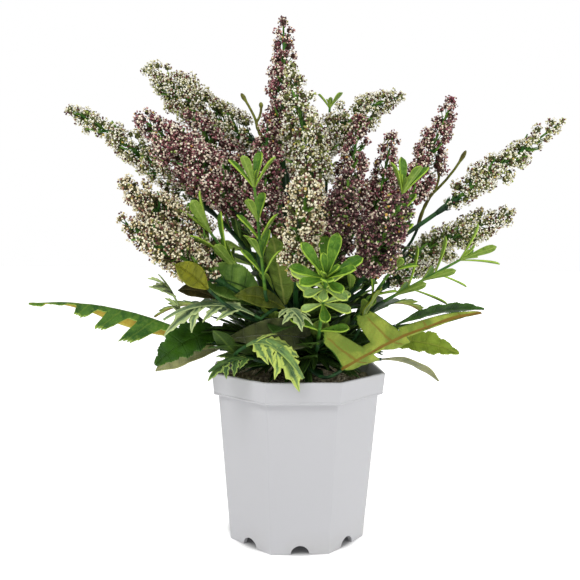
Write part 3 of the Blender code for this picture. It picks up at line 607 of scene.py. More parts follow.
    FLOOR = FloorFinish("floor", tint(246, 246, 246), tint(40, 40, 42), tint(186, 186, 186),
                        tint(255, 255, 255), 0.85, 0.0475, 0.52)


class Palette:
    """The materials, each made once."""

    def __init__(self) -> None:
        """Start with none made."""
        self._made: dict[Finish, bpy.types.Material] = {}

    def __getitem__(self, finish: Finish) -> bpy.types.Material:
        """The finish's material.

        Args:
            finish: One of the finishes.

        Returns:
            The material, made at its first use.
        """
        if finish not in self._made:
            self._made[finish] = finish.value.make()
        return self._made[finish]


def unit(vectors: np.ndarray) -> np.ndarray:
    """The vectors at length one."""
    lengths = np.linalg.norm(vectors, axis=-1, keepdims=True)
    return vectors / np.maximum(lengths, 1e-12)


def level_side(along: np.ndarray) -> np.ndarray:
    """Ways that are level and square to the given ones, or square to the y axis where those are upright.

    Args:
        along: The ways, at length one.

    Returns:
        The ways to their side, not yet at length one.
    """
    side = np.cross(along, UP)
    steep = np.linalg.norm(side, axis=-1, keepdims=True) < NEAR_UPRIGHT
    return np.where(steep, np.cross(along, BACK), side)


def grid_triangles(rows: int, columns: int, closed: bool = False) -> np.ndarray:
    """Triangles over a grid of points, row by row.

    Args:
        rows: How many rows of points.
        columns: How many points in a row.
        closed: Whether each row joins its last point to its first.

    Returns:
        An array of three point numbers a triangle.
    """
    low, here = np.meshgrid(np.arange(rows - 1), np.arange(columns if closed else columns - 1), indexing="ij")
    nxt = (here + 1) % columns
    a, b = low * columns + here, low * columns + nxt
    c, d = (low + 1) * columns + nxt, (low + 1) * columns + here
    return np.concatenate([np.stack([a, b, c], -1).reshape(-1, 3), np.stack([a, c, d], -1).reshape(-1, 3)])


class Patchwork:
    """Triangles gathered from many small shapes into one mesh, with three values at each point."""

    def __init__(self) -> None:
        """Start with no triangles."""
        self.points: list[np.ndarray] = []
        self.marks: list[np.ndarray] = []
        self.triangles: list[np.ndarray] = []
        self.slots: list[np.ndarray] = []
        self.count = 0

    def add(self, points: np.ndarray, triangles: np.ndarray, marks: np.ndarray | None = None,
            slot: int = 0) -> None:
        """Add a shape.

        Args:
            points: Its points, in metres.
            triangles: Three point numbers each, from the shape's own first point.
            marks: Three values for each point, or none for zeros.
            slot: The material slot of its faces.
        """
        points = np.asarray(points, float).reshape(-1, 3)
        self.points.append(points)
        self.marks.append(np.zeros((len(points), 3)) if marks is None else np.asarray(marks).reshape(-1, 3))
        self.triangles.append(np.asarray(triangles).reshape(-1, 3) + self.count)
        self.slots.append(np.full(len(self.triangles[-1]), slot))
        self.count += len(points)

    def add_tube(self, line: np.ndarray, radii: np.ndarray, sides: int, slot: int = 0,
                 mark: Place = (0.0, 0.0, 0.0)) -> None:
        """Add a round tube with closed ends along a line of points.

        Args:
            line: The points that it follows.
            radii: Its radius at each.
            sides: How many sides it has.
            slot: The material slot of its faces.
            mark: The three values that all its points carry.
        """
        line = np.asarray(line, float)
        radii = np.broadcast_to(np.asarray(radii, float), (len(line),))
        along = unit(np.gradient(line, axis=0))
        side = level_side(along[0])
        sides_at = []
        for heading in along:
            side = unit(side - heading * np.dot(side, heading))
            sides_at.append(side)
        sideways = np.array(sides_at)
        upper = np.cross(sideways, along)
        turn = np.arange(sides) * tau / sides
        ring = sideways[:, None] * np.cos(turn)[None, :, None] + upper[:, None] * np.sin(turn)[None, :, None]
        body = line[:, None] + ring * radii[:, None, None]
        points = np.concatenate([body.reshape(-1, 3), line[:1], line[-1:]])
        faces = grid_triangles(len(line), sides, closed=True)
        first, last = len(line) * sides, len(line) * sides + 1
        here = np.arange(sides)
        nxt = (here + 1) % sides
        top = (len(line) - 1) * sides
        caps = np.concatenate([np.stack([np.full(sides, first), nxt, here], -1),
                               np.stack([np.full(sides, last), top + here, top + nxt], -1)])
        self.add(points, np.concatenate([faces, caps])[:, ::-1], np.tile(mark, (len(points), 1)), slot)

    def build(self, name: str, materials: list[bpy.types.Material], smooth: bool = True) -> bpy.types.Object:
        """Make the object.

        Args:
            name: The piece's name.
            materials: One for each slot.
            smooth: Whether its faces are shaded smooth.

        Returns:
            The object, in the scene.
        """
        points = np.concatenate(self.points)
        triangles = np.concatenate(self.triangles)
        mesh = bpy.data.meshes.new(name)
        mesh.vertices.add(len(points))
        mesh.vertices.foreach_set("co", points.astype(np.float32).ravel())
        mesh.loops.add(3 * len(triangles))
        mesh.loops.foreach_set("vertex_index", triangles.astype(np.int32).ravel())
        mesh.polygons.add(len(triangles))
        mesh.polygons.foreach_set("loop_start", np.arange(0, 3 * len(triangles), 3, dtype=np.int32))
        mesh.polygons.foreach_set("material_index", np.concatenate(self.slots).astype(np.int32))
        carried = mesh.attributes.new(MARK, "FLOAT_VECTOR", "POINT")
        carried.data.foreach_set("vector", np.concatenate(self.marks).astype(np.float32).ravel())
        mesh.update(calc_edges=True)
        mesh.validate()
        if smooth:
            mesh.shade_smooth()
        piece = bpy.data.objects.new(name, mesh)
        bpy.context.scene.collection.objects.link(piece)
        for material in materials:
            mesh.materials.append(material)
        return piece


def settle(piece: bpy.types.Object, slot: str, *nodes: str) -> bpy.types.Object:
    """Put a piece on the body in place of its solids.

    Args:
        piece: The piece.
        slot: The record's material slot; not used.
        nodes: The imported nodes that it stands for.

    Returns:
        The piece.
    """
    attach(piece, BODY)
    if nodes:
        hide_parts(*nodes)
    LOG.info("%s: %d faces", piece.name, len(piece.data.polygons))
    return piece


@dataclass(frozen=True)
class Line:
    """A parabola from a foot to a tip in mm, whose middle stands off by a bow."""

    foot: Place
    tip: Place
    bow: Place = (0.0, 0.0, 0.0)

    def _metres(self) -> tuple[np.ndarray, ...]:
        """The foot, the tip and the bow, in metres."""
        return tuple(np.array(place) * MM for place in (self.foot, self.tip, self.bow))

    def at(self, t: np.ndarray | float) -> np.ndarray:
        """The points at t.

        Args:
            t: Places from 0 at the foot to 1 at the tip.

        Returns:
            The points, in metres.
        """
        t = np.asarray(t, float)[..., None]
        foot, tip, bow = self._metres()
        return foot + (tip - foot) * t + bow * 4.0 * t * (1.0 - t)

    def heading(self, t: np.ndarray | float) -> np.ndarray:
        """The directions at t.

        Args:
            t: Places from 0 at the foot to 1 at the tip.

        Returns:
            The directions, at length one.
        """
        t = np.asarray(t, float)[..., None]
        foot, tip, bow = self._metres()
        return unit(tip - foot + bow * 4.0 * (1.0 - 2.0 * t))

    def basis(self, t: np.ndarray | float) -> tuple[np.ndarray, np.ndarray, np.ndarray]:
        """The line's own directions at t.

        Args:
            t: Places from 0 at the foot to 1 at the tip.

        Returns:
            The ways along the line, sideways from it and above it.
        """
        along = self.heading(t)
        side = unit(level_side(along))
        return along, side, unit(np.cross(side, along))


def turned(vectors: np.ndarray, axes: np.ndarray, angle: float) -> np.ndarray:
    """The vectors turned round the axes, both square to each other, by an angle."""
    return vectors * cos(angle) + np.cross(axes, vectors) * sin(angle)


@dataclass
class FlowerSpike:
    """A flower spike: lumps of florets round a green stalk, on short side branches."""

    name: str
    line: Line
    radius_mm: float
    florets: Finish
    slot: str
    looseness: float
    fall_power: float
    stem_bow: Place = (0.0, 0.0, 0.0)

    FOOT_RADIUS_MM = 3.4
    FULLNESS = 1.06
    TAPER = 0.62
    LUMP_AREA_MM2 = 58.0
    BRANCH_RELIEF = 0.20
    HEART_SHARE = 0.74
    FLORET_PITCH_MM = 1.50
    FLORET_SIZE_MM = 0.80
    WIDEST = 0.32
    SAMPLES = 200
    LEAST_LUMPS = 12
    HEART_SIDES = 6
    BRACTS = 22
    SHOOTS = 8

    def profile(self, t: np.ndarray) -> np.ndarray:
        """The spike's radius at t.

        Args:
            t: Places from 0 at the foot to 1 at the tip.

        Returns:
            The radii in mm: a narrow foot, widest at a third, and a long taper.
        """
        rise = self.FOOT_RADIUS_MM + (self.radius_mm - self.FOOT_RADIUS_MM) * np.sin(
            0.5 * pi * np.minimum(t, self.WIDEST) / self.WIDEST)
        fall = np.clip((t - self.WIDEST) / (1.0 - self.WIDEST), 0.0, 1.0)
        taper = self.radius_mm * (1.0 - self.TAPER * fall ** self.fall_power)
        return self.FULLNESS * np.where(t < self.WIDEST, rise, taper)

    def lumps(self, draw: np.random.Generator) -> tuple[np.ndarray, np.ndarray, np.ndarray, np.ndarray]:
        """Where the lumps of florets stand.

        Args:
            draw: The spike's own random numbers.

        Returns:
            Centres in metres, radii in mm, outward directions, and the places along the spike.
        """
        shares = np.linspace(0.0, 1.0, self.SAMPLES)
        length = np.linalg.norm(self.line.at(1.0) - self.line.at(0.0)) / MM
        area = tau * self.profile(shares) * length / len(shares)
        count = max(self.LEAST_LUMPS, int(area.sum() / self.LUMP_AREA_MM2))
        reached = np.cumsum(area) / area.sum()
        t = np.interp((np.arange(count) + 0.5) / count, reached, shares)
        t = np.clip(t + draw.uniform(-0.012, 0.012, count), 0.01, 0.985)
        keep = draw.uniform(size=count) > self.looseness * np.where(t > 0.75, 0.4, 1.0)
        angle = np.arange(count) * GOLDEN_ANGLE + draw.uniform(-0.35, 0.35, count)
        t, angle = np.append(t[keep], 1.0), np.append(angle[keep], 0.0)
        relief = 1.0 + self.BRANCH_RELIEF * np.sin(3.0 * angle + 9.0 * t + draw.uniform(0.0, tau))
        reach = self.profile(t) * relief
        radius = (1.50 + 0.19 * reach) * draw.uniform(0.74, 1.26, len(t))
        along, side, upper = self.line.basis(t)
        out = side * np.cos(angle)[:, None] + upper * np.sin(angle)[:, None]
        off = np.maximum(reach - 0.72 * radius, 0.25 * reach) * draw.uniform(0.74, 1.22, len(t))
        off[-1] = 0.0
        centre = self.line.at(t) + (out * off[:, None] + along * (0.25 * off[:, None])) * MM
        return centre, radius, unit(out + along * 0.35), t

    def granules(self, draw: np.random.Generator, centre: np.ndarray, radius: np.ndarray,
                 outward: np.ndarray) -> tuple[np.ndarray, np.ndarray, np.ndarray]:
        """Where the single florets stand on their lumps.

        Args:
            draw: The spike's own random numbers.
            centre: The lumps' centres.
            radius: Their radii in mm.
            outward: Their outward directions.

        Returns:
            The florets' centres, their sizes in mm, and how deep in the spike each lies.
        """
        centres, sizes, depths = [], [], []
        for middle, reach, out in zip(centre, radius, outward):
            count = int(2.0 * tau * reach ** 2 * 0.92 / self.FLORET_PITCH_MM ** 2)
            order = np.arange(count) + 0.5
            polar = np.arccos(1.0 - 2.0 * order / count)
            turn = order * GOLDEN_ANGLE + draw.uniform(0.0, tau)
            ways = np.stack([np.sin(polar) * np.cos(turn), np.sin(polar) * np.sin(turn), np.cos(polar)], -1)
            ways = unit(ways + draw.normal(0.0, 0.16, (count, 3)))
            facing = ways @ out
            shown = facing > -0.10
            ways, facing = ways[shown], facing[shown]
            stretch = 1.0 + 0.35 * np.maximum(facing, 0.0)
            far = reach * stretch * draw.uniform(0.78, 1.12, len(ways))
            centres.append(middle + ways * far[:, None] * MM)
            sizes.append(self.FLORET_SIZE_MM * draw.uniform(0.72, 1.22, len(ways)))
            depths.append(np.clip(0.45 - facing, 0.0, 1.0) * draw.uniform(0.6, 1.0, len(ways)))
        return np.concatenate(centres), np.concatenate(sizes), np.concatenate(depths)

    def build(self, palette: Palette) -> bpy.types.Object:
        """Make the spike's piece.

        Args:
            palette: The materials.

        Returns:
            The piece.
        """
        draw = np.random.default_rng(hash_of(self.name))
        work = Patchwork()
        centre, radius, outward, t = self.lumps(draw)
        places, sizes, depths = self.granules(draw, centre, radius, outward)
        self._add_florets(work, draw, places, sizes, depths)
        self._add_hearts(work, draw, centre, radius)
        self._add_stalk(work, draw, centre, t)
        materials = [palette[finish] for finish in (self.florets, Finish.BRIGHT_STALK, Finish.STALK)]
        return settle(work.build(self.name + "_florets", materials), self.slot, self.name)

    def _add_florets(self, work: Patchwork, draw: np.random.Generator, places: np.ndarray, sizes: np.ndarray,
                     depths: np.ndarray) -> None:
        """Add one crumb-like floret at each place: six uneven points round its middle.

        Args:
            work: The mesh so far.
            draw: The spike's own random numbers.
            places: The florets' centres.
            sizes: Their sizes in mm.
            depths: How deep in the spike each lies.
        """
        corners = np.array([(1, 0, 0), (-1, 0, 0), (0, 1, 0), (0, -1, 0), (0, 0, 1), (0, 0, -1)], float)
        faces = np.array([(0, 2, 4), (2, 1, 4), (1, 3, 4), (3, 0, 4),
                          (2, 0, 5), (1, 2, 5), (3, 1, 5), (0, 3, 5)])
        count = len(places)
        turn = unit(draw.normal(size=(count, 4)))
        w, x, y, z = turn.T
        rotation = np.stack([
            np.stack([1 - 2 * (y * y + z * z), 2 * (x * y - w * z), 2 * (x * z + w * y)], -1),
            np.stack([2 * (x * y + w * z), 1 - 2 * (x * x + z * z), 2 * (y * z - w * x)], -1),
            np.stack([2 * (x * z - w * y), 2 * (y * z + w * x), 1 - 2 * (x * x + y * y)], -1)], 1)
        uneven = draw.uniform(0.75, 1.25, (count, len(corners), 1))
        shape = corners[None] * uneven * draw.uniform(0.75, 1.2, (count, 1, 3))
        points = np.einsum("nij,nkj->nki", rotation, shape) * (sizes * MM)[:, None, None] + places[:, None]
        triangles = (np.arange(count) * len(corners))[:, None, None] + faces[None]
        pick = draw.uniform(size=count)
        marks = np.repeat(np.stack([pick, depths, np.zeros(count)], -1), len(corners), axis=0)
        work.add(points, triangles, marks)

    def _add_hearts(self, work: Patchwork, draw: np.random.Generator, centre: np.ndarray,
                    radius: np.ndarray) -> None:
        """Add the uneven heart of each lump, a dark core which shows between its florets as painted shade.

        Args:
            work: The mesh so far.
            draw: The spike's own random numbers.
            centre: The lumps' centres.
            radius: Their radii in mm.
        """
        polars = [pi * row / 4.0 for row in (0.02, 1.3, 2.7, 3.98)]
        turns = [tau * place / self.HEART_SIDES for place in range(self.HEART_SIDES)]
        ways = np.array([(sin(polar) * cos(turn), sin(polar) * sin(turn), cos(polar))
                         for polar in polars for turn in turns])
        faces = grid_triangles(len(polars), len(turns), closed=True)[:, ::-1]
        for middle, reach in zip(centre, radius):
            uneven = self.HEART_SHARE * reach * draw.uniform(0.82, 1.12, (len(ways), 1))
            work.add(middle + ways * uneven * MM, faces, np.tile((0.5, 0.4, 1.0), (len(ways), 1)))

    def _add_stalk(self, work: Patchwork, draw: np.random.Generator, centre: np.ndarray,
                   t: np.ndarray) -> None:
        """Add the inner stalk, the branches to the lumps, the bracts round the foot and the side shoots.

        Args:
            work: The mesh so far.
            draw: The spike's own random numbers.
            centre: The lumps' centres.
            t: Their places along the spike.
        """
        shares = np.linspace(-0.02, 0.95, 14)
        work.add_tube(self.line.at(shares), (1.45 - 0.85 * np.clip(shares, 0.0, 1.0)) * MM, 7, 1)
        sleeve = np.linspace(-0.09, 0.12, 8)
        work.add_tube(self.line.at(sleeve), np.array([1.5, 1.9, 2.1, 2.1, 2.0, 1.9, 1.7, 1.3]) * MM, 9, 2)
        roots = self.line.at(np.maximum(t - 0.07, 0.0))
        for root, end in zip(roots, centre):
            middle = root * 0.4 + end * 0.6 + np.array((0.0, 0.0, -0.0004))
            work.add_tube(np.array([root, middle, end]), np.array([0.42, 0.36, 0.30]) * MM, 3, 1)
        along, side, upper = self.line.basis(np.array(0.0))
        for bract in range(self.BRACTS):
            angle = bract * GOLDEN_ANGLE
            out = side * cos(angle) + upper * sin(angle)
            start = self.line.at(0.0) + along * draw.uniform(-6.0, 9.0) * MM + out * 1.2 * MM
            end = start + (out * draw.uniform(1.8, 3.4) + along * draw.uniform(1.6, 4.2)) * MM
            work.add_tube(np.array([start, (start + end) / 2 + out * 0.3 * MM, end]),
                          np.array([0.55, 0.45, 0.10]) * MM, 4, 2)
        for shoot in range(self.SHOOTS):
            low = 0.10 + 0.66 * (shoot + draw.uniform(0.0, 0.8)) / self.SHOOTS
            _, side, upper = self.line.basis(np.array(low))
            angle = shoot * GOLDEN_ANGLE + draw.uniform(-0.5, 0.5)
            out = (side * cos(angle) + upper * sin(angle)) * float(self.profile(np.array(low + 0.08))) * MM
            line = np.array([self.line.at(low), self.line.at(low + 0.03) + out * 0.55,
                             self.line.at(low + 0.10) + out * 1.06])
            work.add_tube(line, np.array([0.95, 0.85, 0.50]) * MM, 5, 1)


def hash_of(name: str) -> int:
    """A number that is the same for a name in every run.

    Args:
        name: The name.

    Returns:
        The number, from 0 up.
    """
    total = HASH_START
    for letter in name:
        total = (total * HASH_STEP + ord(letter)) % HASH_SIZE
    return total


@dataclass(frozen=True)
class LeafOutline:
    """The edge of a leaf: lobes a side, their depth, its widest place, their lean, and its teeth.

    The powers say how bluntly the leaf starts and how fast it tapers, and the gap is the share of each
    lobe's span that stays as narrow as the notch.
    """

    lobes: int
    notch: float
    dip: float
    widest: float
    shear: float
    lower_lean: float = 0.0
    teeth: int = 24
    tooth_depth: float = 0.05
    start_power: float = 0.8
    taper_power: float = 0.9
    first_lobe: float = 0.10
    last_lobe: float = 0.90
    gap: float = 0.0

    LOBE_PLACES = (0.0, 0.16, 0.34, 0.44, 0.50, 0.62, 0.72, 0.80, 1.0)
    SHORTEST_FOOT = 0.02
    FOOT_WIDTH = 0.04
    NARROWEST = 0.02

    def envelope(self, t: np.ndarray) -> np.ndarray:
        """How wide the leaf is at t before its lobes are cut.

        Args:
            t: Places from 0 at the foot to 1 at the tip.

        Returns:
            Half widths, as shares of the widest.
        """
        rise = np.sin(0.5 * pi * np.clip(t / self.widest, 0.0, 1.0)) ** self.start_power
        fall = np.clip((t - self.widest) / (1.0 - self.widest), 0.0, 1.0)
        return np.where(t < self.widest, rise, np.maximum(np.cos(0.5 * pi * fall), 0.0) ** self.taper_power)

    def edge(self, t: np.ndarray) -> np.ndarray:
        """How wide the leaf is at t, with its lobes and teeth.

        Args:
            t: Places from 0 at the foot to 1 at the tip.

        Returns:
            Half widths, as shares of the widest.
        """
        wide = self.envelope(t)
        if self.lobes:
            step = (self.last_lobe - self.first_lobe) / self.lobes
            place = np.clip((t - self.first_lobe) / step, 0.0, self.lobes - 1e-6) % 1.0
            place = np.clip((place - self.gap) / (1.0 - self.gap), 0.0, 1.0)
            depth = np.interp(place, self.LOBE_PLACES,
                              (self.notch, 0.74, 0.93, 0.90, self.dip, 0.93, 1.0, 0.93, self.notch))
            lobed = depth * wide
            start = max(self.first_lobe, self.SHORTEST_FOOT)
            first = self.notch * float(self.envelope(np.array(start)))
            low = np.interp(t, (0.0, start), (self.FOOT_WIDTH, first))
            last = 0.7 * self.notch * self.envelope(np.array(self.last_lobe)) + 0.12
            high = last * np.sqrt(np.clip((1.0 - t) / (1.0 - self.last_lobe), 0.0, 1.0))
            wide = np.where(t < start, low, np.where(t > self.last_lobe, high, lobed))
        saw = 1.0 - (t * self.teeth) % 1.0
        return np.maximum(wide * (1.0 - self.tooth_depth * saw), self.NARROWEST)


class Outlines(Enum):
    """The kinds of leaf edge."""

    LOBED = LeafOutline(4, 0.42, 0.80, 0.36, 38.0, teeth=30, tooth_depth=0.07)
    FOLDED = LeafOutline(4, 0.26, 0.90, 0.22, 40.0, teeth=52, tooth_depth=0.12, taper_power=2.2, gap=0.30)
    BROAD = LeafOutline(2, 0.22, 0.90, 0.13, -24.0, 74.0, teeth=66, tooth_depth=0.065, taper_power=2.0,
                        first_lobe=-0.06, last_lobe=0.44, gap=0.25)
    TOOTHED = LeafOutline(4, 0.80, 0.92, 0.50, 18.0, teeth=30, tooth_depth=0.10)
    CUT = LeafOutline(4, 0.17, 0.62, 0.42, 42.0, teeth=20, tooth_depth=0.16)
    FELTED = LeafOutline(0, 1.0, 1.0, 0.55, 8.0, teeth=40, tooth_depth=0.02)
    BLUNT = LeafOutline(0, 1.0, 1.0, 0.34, -6.0, teeth=40, tooth_depth=0.02, start_power=0.42,
                        taper_power=1.1)
    OVATE = LeafOutline(0, 1.0, 1.0, 0.45, 12.0, teeth=26, tooth_depth=0.06)


@dataclass
class LeafBlade:
    """A single leaf: two halves hang from an arched midrib, quilted between the side veins."""

    name: str
    foot: Place
    tip: Place
    half_width_mm: float
    arch_mm: float
    roll: float
    outline: Outlines
    faces: tuple[Finish, Finish]
    slot: str
    lower_share: float = 1.0
    cup: float = 0.18
    wave: float = 0.06
    stem_bow: Place = (0.0, 0.0, 0.0)
    plain_far_share: float = 0.0
    has_solid: bool = True

    THICKNESS = 0.0006
    ACROSS = (0.0, 0.07, 0.22, 0.42, 0.62, 0.82, 1.0)
    STATIONS_A_TOOTH = 3
    QUILT_SHARE = 0.028
    PLAIN_QUILTS = 6.0

    @property
    def line(self) -> Line:
        """The midrib's line."""
        return Line(self.foot, self.tip, (0.0, 0.0, self.arch_mm))

    def basis(self, t: np.ndarray | float) -> tuple[np.ndarray, np.ndarray, np.ndarray]:
        """The leaf's own directions at t.

        Args:
            t: Places from 0 at the foot to 1 at the tip.

        Returns:
            The ways along the leaf, across it, and out of its upper face.
        """
        along, side, _ = self.line.basis(t)
        side = turned(side, along, radians(self.roll))
        return along, side, np.cross(side, along)

    def surface(self) -> tuple[np.ndarray, np.ndarray]:
        """The leaf's middle surface.

        Returns:
            Points by station and place across, and the three values of each.
        """
        outline = self.outline.value
        t = np.linspace(0.0, 1.0, outline.teeth * self.STATIONS_A_TOOTH + 1)
        phase = random.Random(self.name).uniform(0.0, tau)
        middle = self.line.at(t)
        along, side, normal = self.basis(t)
        half = self.half_width_mm * MM
        edge = outline.edge(t) * half
        columns, marks = [], []
        places = [-share for share in reversed(self.ACROSS[1:])] + list(self.ACROSS)
        vein_phase = t * (outline.lobes / 0.8 if outline.lobes else self.PLAIN_QUILTS)
        for over in places:
            sign = 1.0 if over >= 0.0 else -1.0
            share = abs(over)
            lean = radians(outline.shear + (outline.lower_lean if over < 0.0 else 0.0))
            root_lean = np.minimum(t / 0.06, 1.0) * lean
            reach = edge * share * (1.0 if over >= 0.0 else self.lower_share)
            if over > 0.0 and self.plain_far_share:
                reach = self.plain_far_share * outline.envelope(t) * half * share
            lift = self.cup * reach + self.wave * reach * np.sin(13.0 * t + phase + sign)
            quilt = self.QUILT_SHARE * half * np.cos(tau * vein_phase) * sin(pi * min(share, 0.98))
            groove = -0.0004 * (share < 0.03)
            points = (middle + side * (sign * reach * np.cos(root_lean))[:, None]
                      + along * (reach * np.sin(root_lean))[:, None]
                      + normal * (lift + quilt + groove)[:, None])
            columns.append(points)
            marks.append(np.stack([t, np.full(len(t), over), edge / MM], -1))
        return np.stack(columns, 1), np.stack(marks, 1)

    def build(self, palette: Palette) -> bpy.types.Object:
        """Make the leaf's piece.

        Args:
            palette: The materials.

        Returns:
            The piece.
        """
        points, marks = self.surface()
        rows, columns = points.shape[:2]
        work = Patchwork()
        work.add(points, grid_triangles(rows, columns), marks)
        return self._close(work, palette)

    def _close(self, work: Patchwork, palette: Palette) -> bpy.types.Object:
        """Turn the gathered sheet into the leaf's piece.

        Args:
            work: The sheet.
            palette: The materials.

        Returns:
            The piece.
        """
        piece = work.build(self.name + "_blade", [palette[finish] for finish in self.faces])
        thicken(piece, self.THICKNESS)
        return settle(piece, self.slot, *([self.name] if self.has_solid else []))


@dataclass(frozen=True)
class SmallLeaf:
    """The form of a small leaf: its breadth along its length, its droop and the depth of its trough."""

    breadth: tuple[tuple[float, float], ...]
    droop: float
    trough: float
    far_side: tuple[tuple[float, float], ...] = ()
    stations: int = 12
    across: tuple[float, ...] = (-1.0, -0.8, -0.5, -0.15, 0.0, 0.15, 0.5, 0.8, 1.0)

    def add(self, work: Patchwork, root: np.ndarray, heading: np.ndarray, facing: np.ndarray,
            length_mm: float, width_mm: float, slot: int = 0) -> None:
        """Add one leaf to a mesh.

        Args:
            work: The mesh so far.
            root: Where the leaf starts.
            heading: The way that it points.
            facing: The way that its upper face looks.
            length_mm: Its length.
            width_mm: Its greatest width.
            slot: The material slot of its upper face.
        """
        along = unit(heading)
        side = unit(np.cross(along, facing))
        normal = unit(np.cross(side, along))
        length, half = length_mm * MM, 0.5 * width_mm * MM
        t = np.linspace(0.0, 1.0, self.stations)
        edges = (self.breadth, self.far_side or self.breadth)
        near, far = (half * np.interp(t, *zip(*edge)) for edge in edges)
        columns, marks = [], []
        for over in self.across:
            breadth = near if over >= 0.0 else far
            lift = breadth * self.trough * over ** 2 - self.droop * length * t ** 2
            columns.append(root + along * (length * t)[:, None] + side * (breadth * over)[:, None]
                           + normal * lift[:, None])
            marks.append(np.stack([t, np.full(len(t), over), breadth / MM], -1))
        work.add(np.stack(columns, 1), grid_triangles(len(t), len(self.across)), np.stack(marks, 1), slot)


class SmallLeaves(Enum):
    """The forms of small leaf."""

    SPOON = SmallLeaf(((0.0, 0.16), (0.12, 0.19), (0.42, 0.58), (0.62, 0.88), (0.78, 1.0), (0.90, 0.86),
                       (0.965, 0.52), (1.0, 0.06)), 0.10, 0.30, stations=14)
    LANCE = SmallLeaf(((0.0, 0.14), (0.12, 0.36), (0.32, 0.86), (0.48, 1.0), (0.68, 0.84), (0.86, 0.46),
                       (1.0, 0.03)), 0.16, 0.22, across=COARSE_ACROSS)
    BROAD = SmallLeaf(((0.0, 0.10), (0.10, 0.40), (0.26, 0.86), (0.42, 1.0), (0.62, 0.90), (0.82, 0.56),
                       (0.94, 0.24), (1.0, 0.03)), 0.20, 0.24, across=COARSE_ACROSS)
    CUT_LOBE = SmallLeaf(((0.0, 0.34), (0.16, 0.50), (0.38, 1.0), (0.44, 0.58), (0.64, 0.84), (0.70, 0.42),
                          (0.86, 0.30), (1.0, 0.02)), 0.30, 0.14,
                         ((0.0, 0.30), (0.26, 0.86), (0.32, 0.52), (0.52, 0.98), (0.58, 0.50), (0.78, 0.60),
                          (0.84, 0.26), (1.0, 0.02)), 26)


@dataclass
class CutLeaf(LeafBlade):
    """A leaf cut down to its midrib into toothed lobes, with a longer one at its end."""

    lobe_places: tuple[float, ...] = (0.12, 0.34, 0.56)
    lobe_angle: float = 52.0
    lobe_reach: float = 1.36

    MIDRIB_SHARE = 0.15
    MIDRIB_END = 0.94
    MIDRIB_ACROSS = (-1.0, -0.4, 0.0, 0.4, 1.0)
    END_LOBE_FROM = 0.50
    END_LOBE_BREADTH = 0.58
    LOBE_BREADTH = 0.48

    def build(self, palette: Palette) -> bpy.types.Object:
        """Make the leaf's piece.

        Args:
            palette: The materials.

        Returns:
            The piece.
        """
        draw = np.random.default_rng(hash_of(self.name))
        work = Patchwork()
        self._add_midrib(work)
        for place in self.lobe_places:
            for sign in (-1.0, 1.0):
                self._add_lobe(work, draw, place + draw.uniform(-0.04, 0.04), sign)
        _, _, normal = self.basis(self.END_LOBE_FROM)
        root = self.line.at(self.END_LOBE_FROM)
        length = float(np.linalg.norm(self.line.at(1.0) - root)) / MM
        SmallLeaves.CUT_LOBE.value.add(work, root, self.line.at(1.0) - root, normal, length,
                                       length * self.END_LOBE_BREADTH)
        return self._close(work, palette)

    def _add_midrib(self, work: Patchwork) -> None:
        """Add the narrow strip of blade along the midrib.

        Args:
            work: The mesh so far.
        """
        t = np.linspace(0.0, self.MIDRIB_END, 24)
        _, side, normal = self.basis(t)
        half = self.MIDRIB_SHARE * self.half_width_mm * MM * (0.5 + np.sin(pi * t / self.MIDRIB_END))
        columns, marks = [], []
        for over in self.MIDRIB_ACROSS:
            lift = normal * (0.2 * abs(over) * half)[:, None]
            columns.append(self.line.at(t) + side * (over * half)[:, None] + lift)
            marks.append(np.stack([0.3 * t, np.full(len(t), 0.6 * over), half / MM], -1))
        work.add(np.stack(columns, 1), grid_triangles(len(t), len(columns)), np.stack(marks, 1))

    def _add_lobe(self, work: Patchwork, draw: np.random.Generator, place: float, sign: float) -> None:
        """Add one lobe.

        Args:
            work: The mesh so far.
            draw: The leaf's own random numbers.
            place: Where it leaves the midrib, from 0 to 1.
            sign: The side that it is on, -1 or 1.
        """
        along, side, normal = self.basis(place)
        angle = radians(self.lobe_angle + draw.uniform(-9.0, 9.0))
        heading = along * cos(angle) + side * (sign * sin(angle)) + normal * draw.uniform(-0.35, 0.05)
        facing = unit(normal + side * draw.uniform(-0.3, 0.3) + along * draw.uniform(-0.2, 0.3))
        wide = float(self.outline.value.envelope(np.array(0.12 + 0.8 * place)))
        length = self.lobe_reach * self.half_width_mm * wide * draw.uniform(0.82, 1.15)
        SmallLeaves.CUT_LOBE.value.add(work, self.line.at(place), heading, facing, length,
                                       length * self.LOBE_BREADTH)


def thicken(piece: bpy.types.Object, thickness: float) -> None:
    """Give a sheet of leaves its thickness, with the second material underneath.

    Args:
        piece: The sheet.
        thickness: Its thickness, in metres.
    """
    thick = piece.modifiers.new("thickness", "SOLIDIFY")
    thick.thickness = thickness
    thick.offset = 0.0
    thick.material_offset = 1


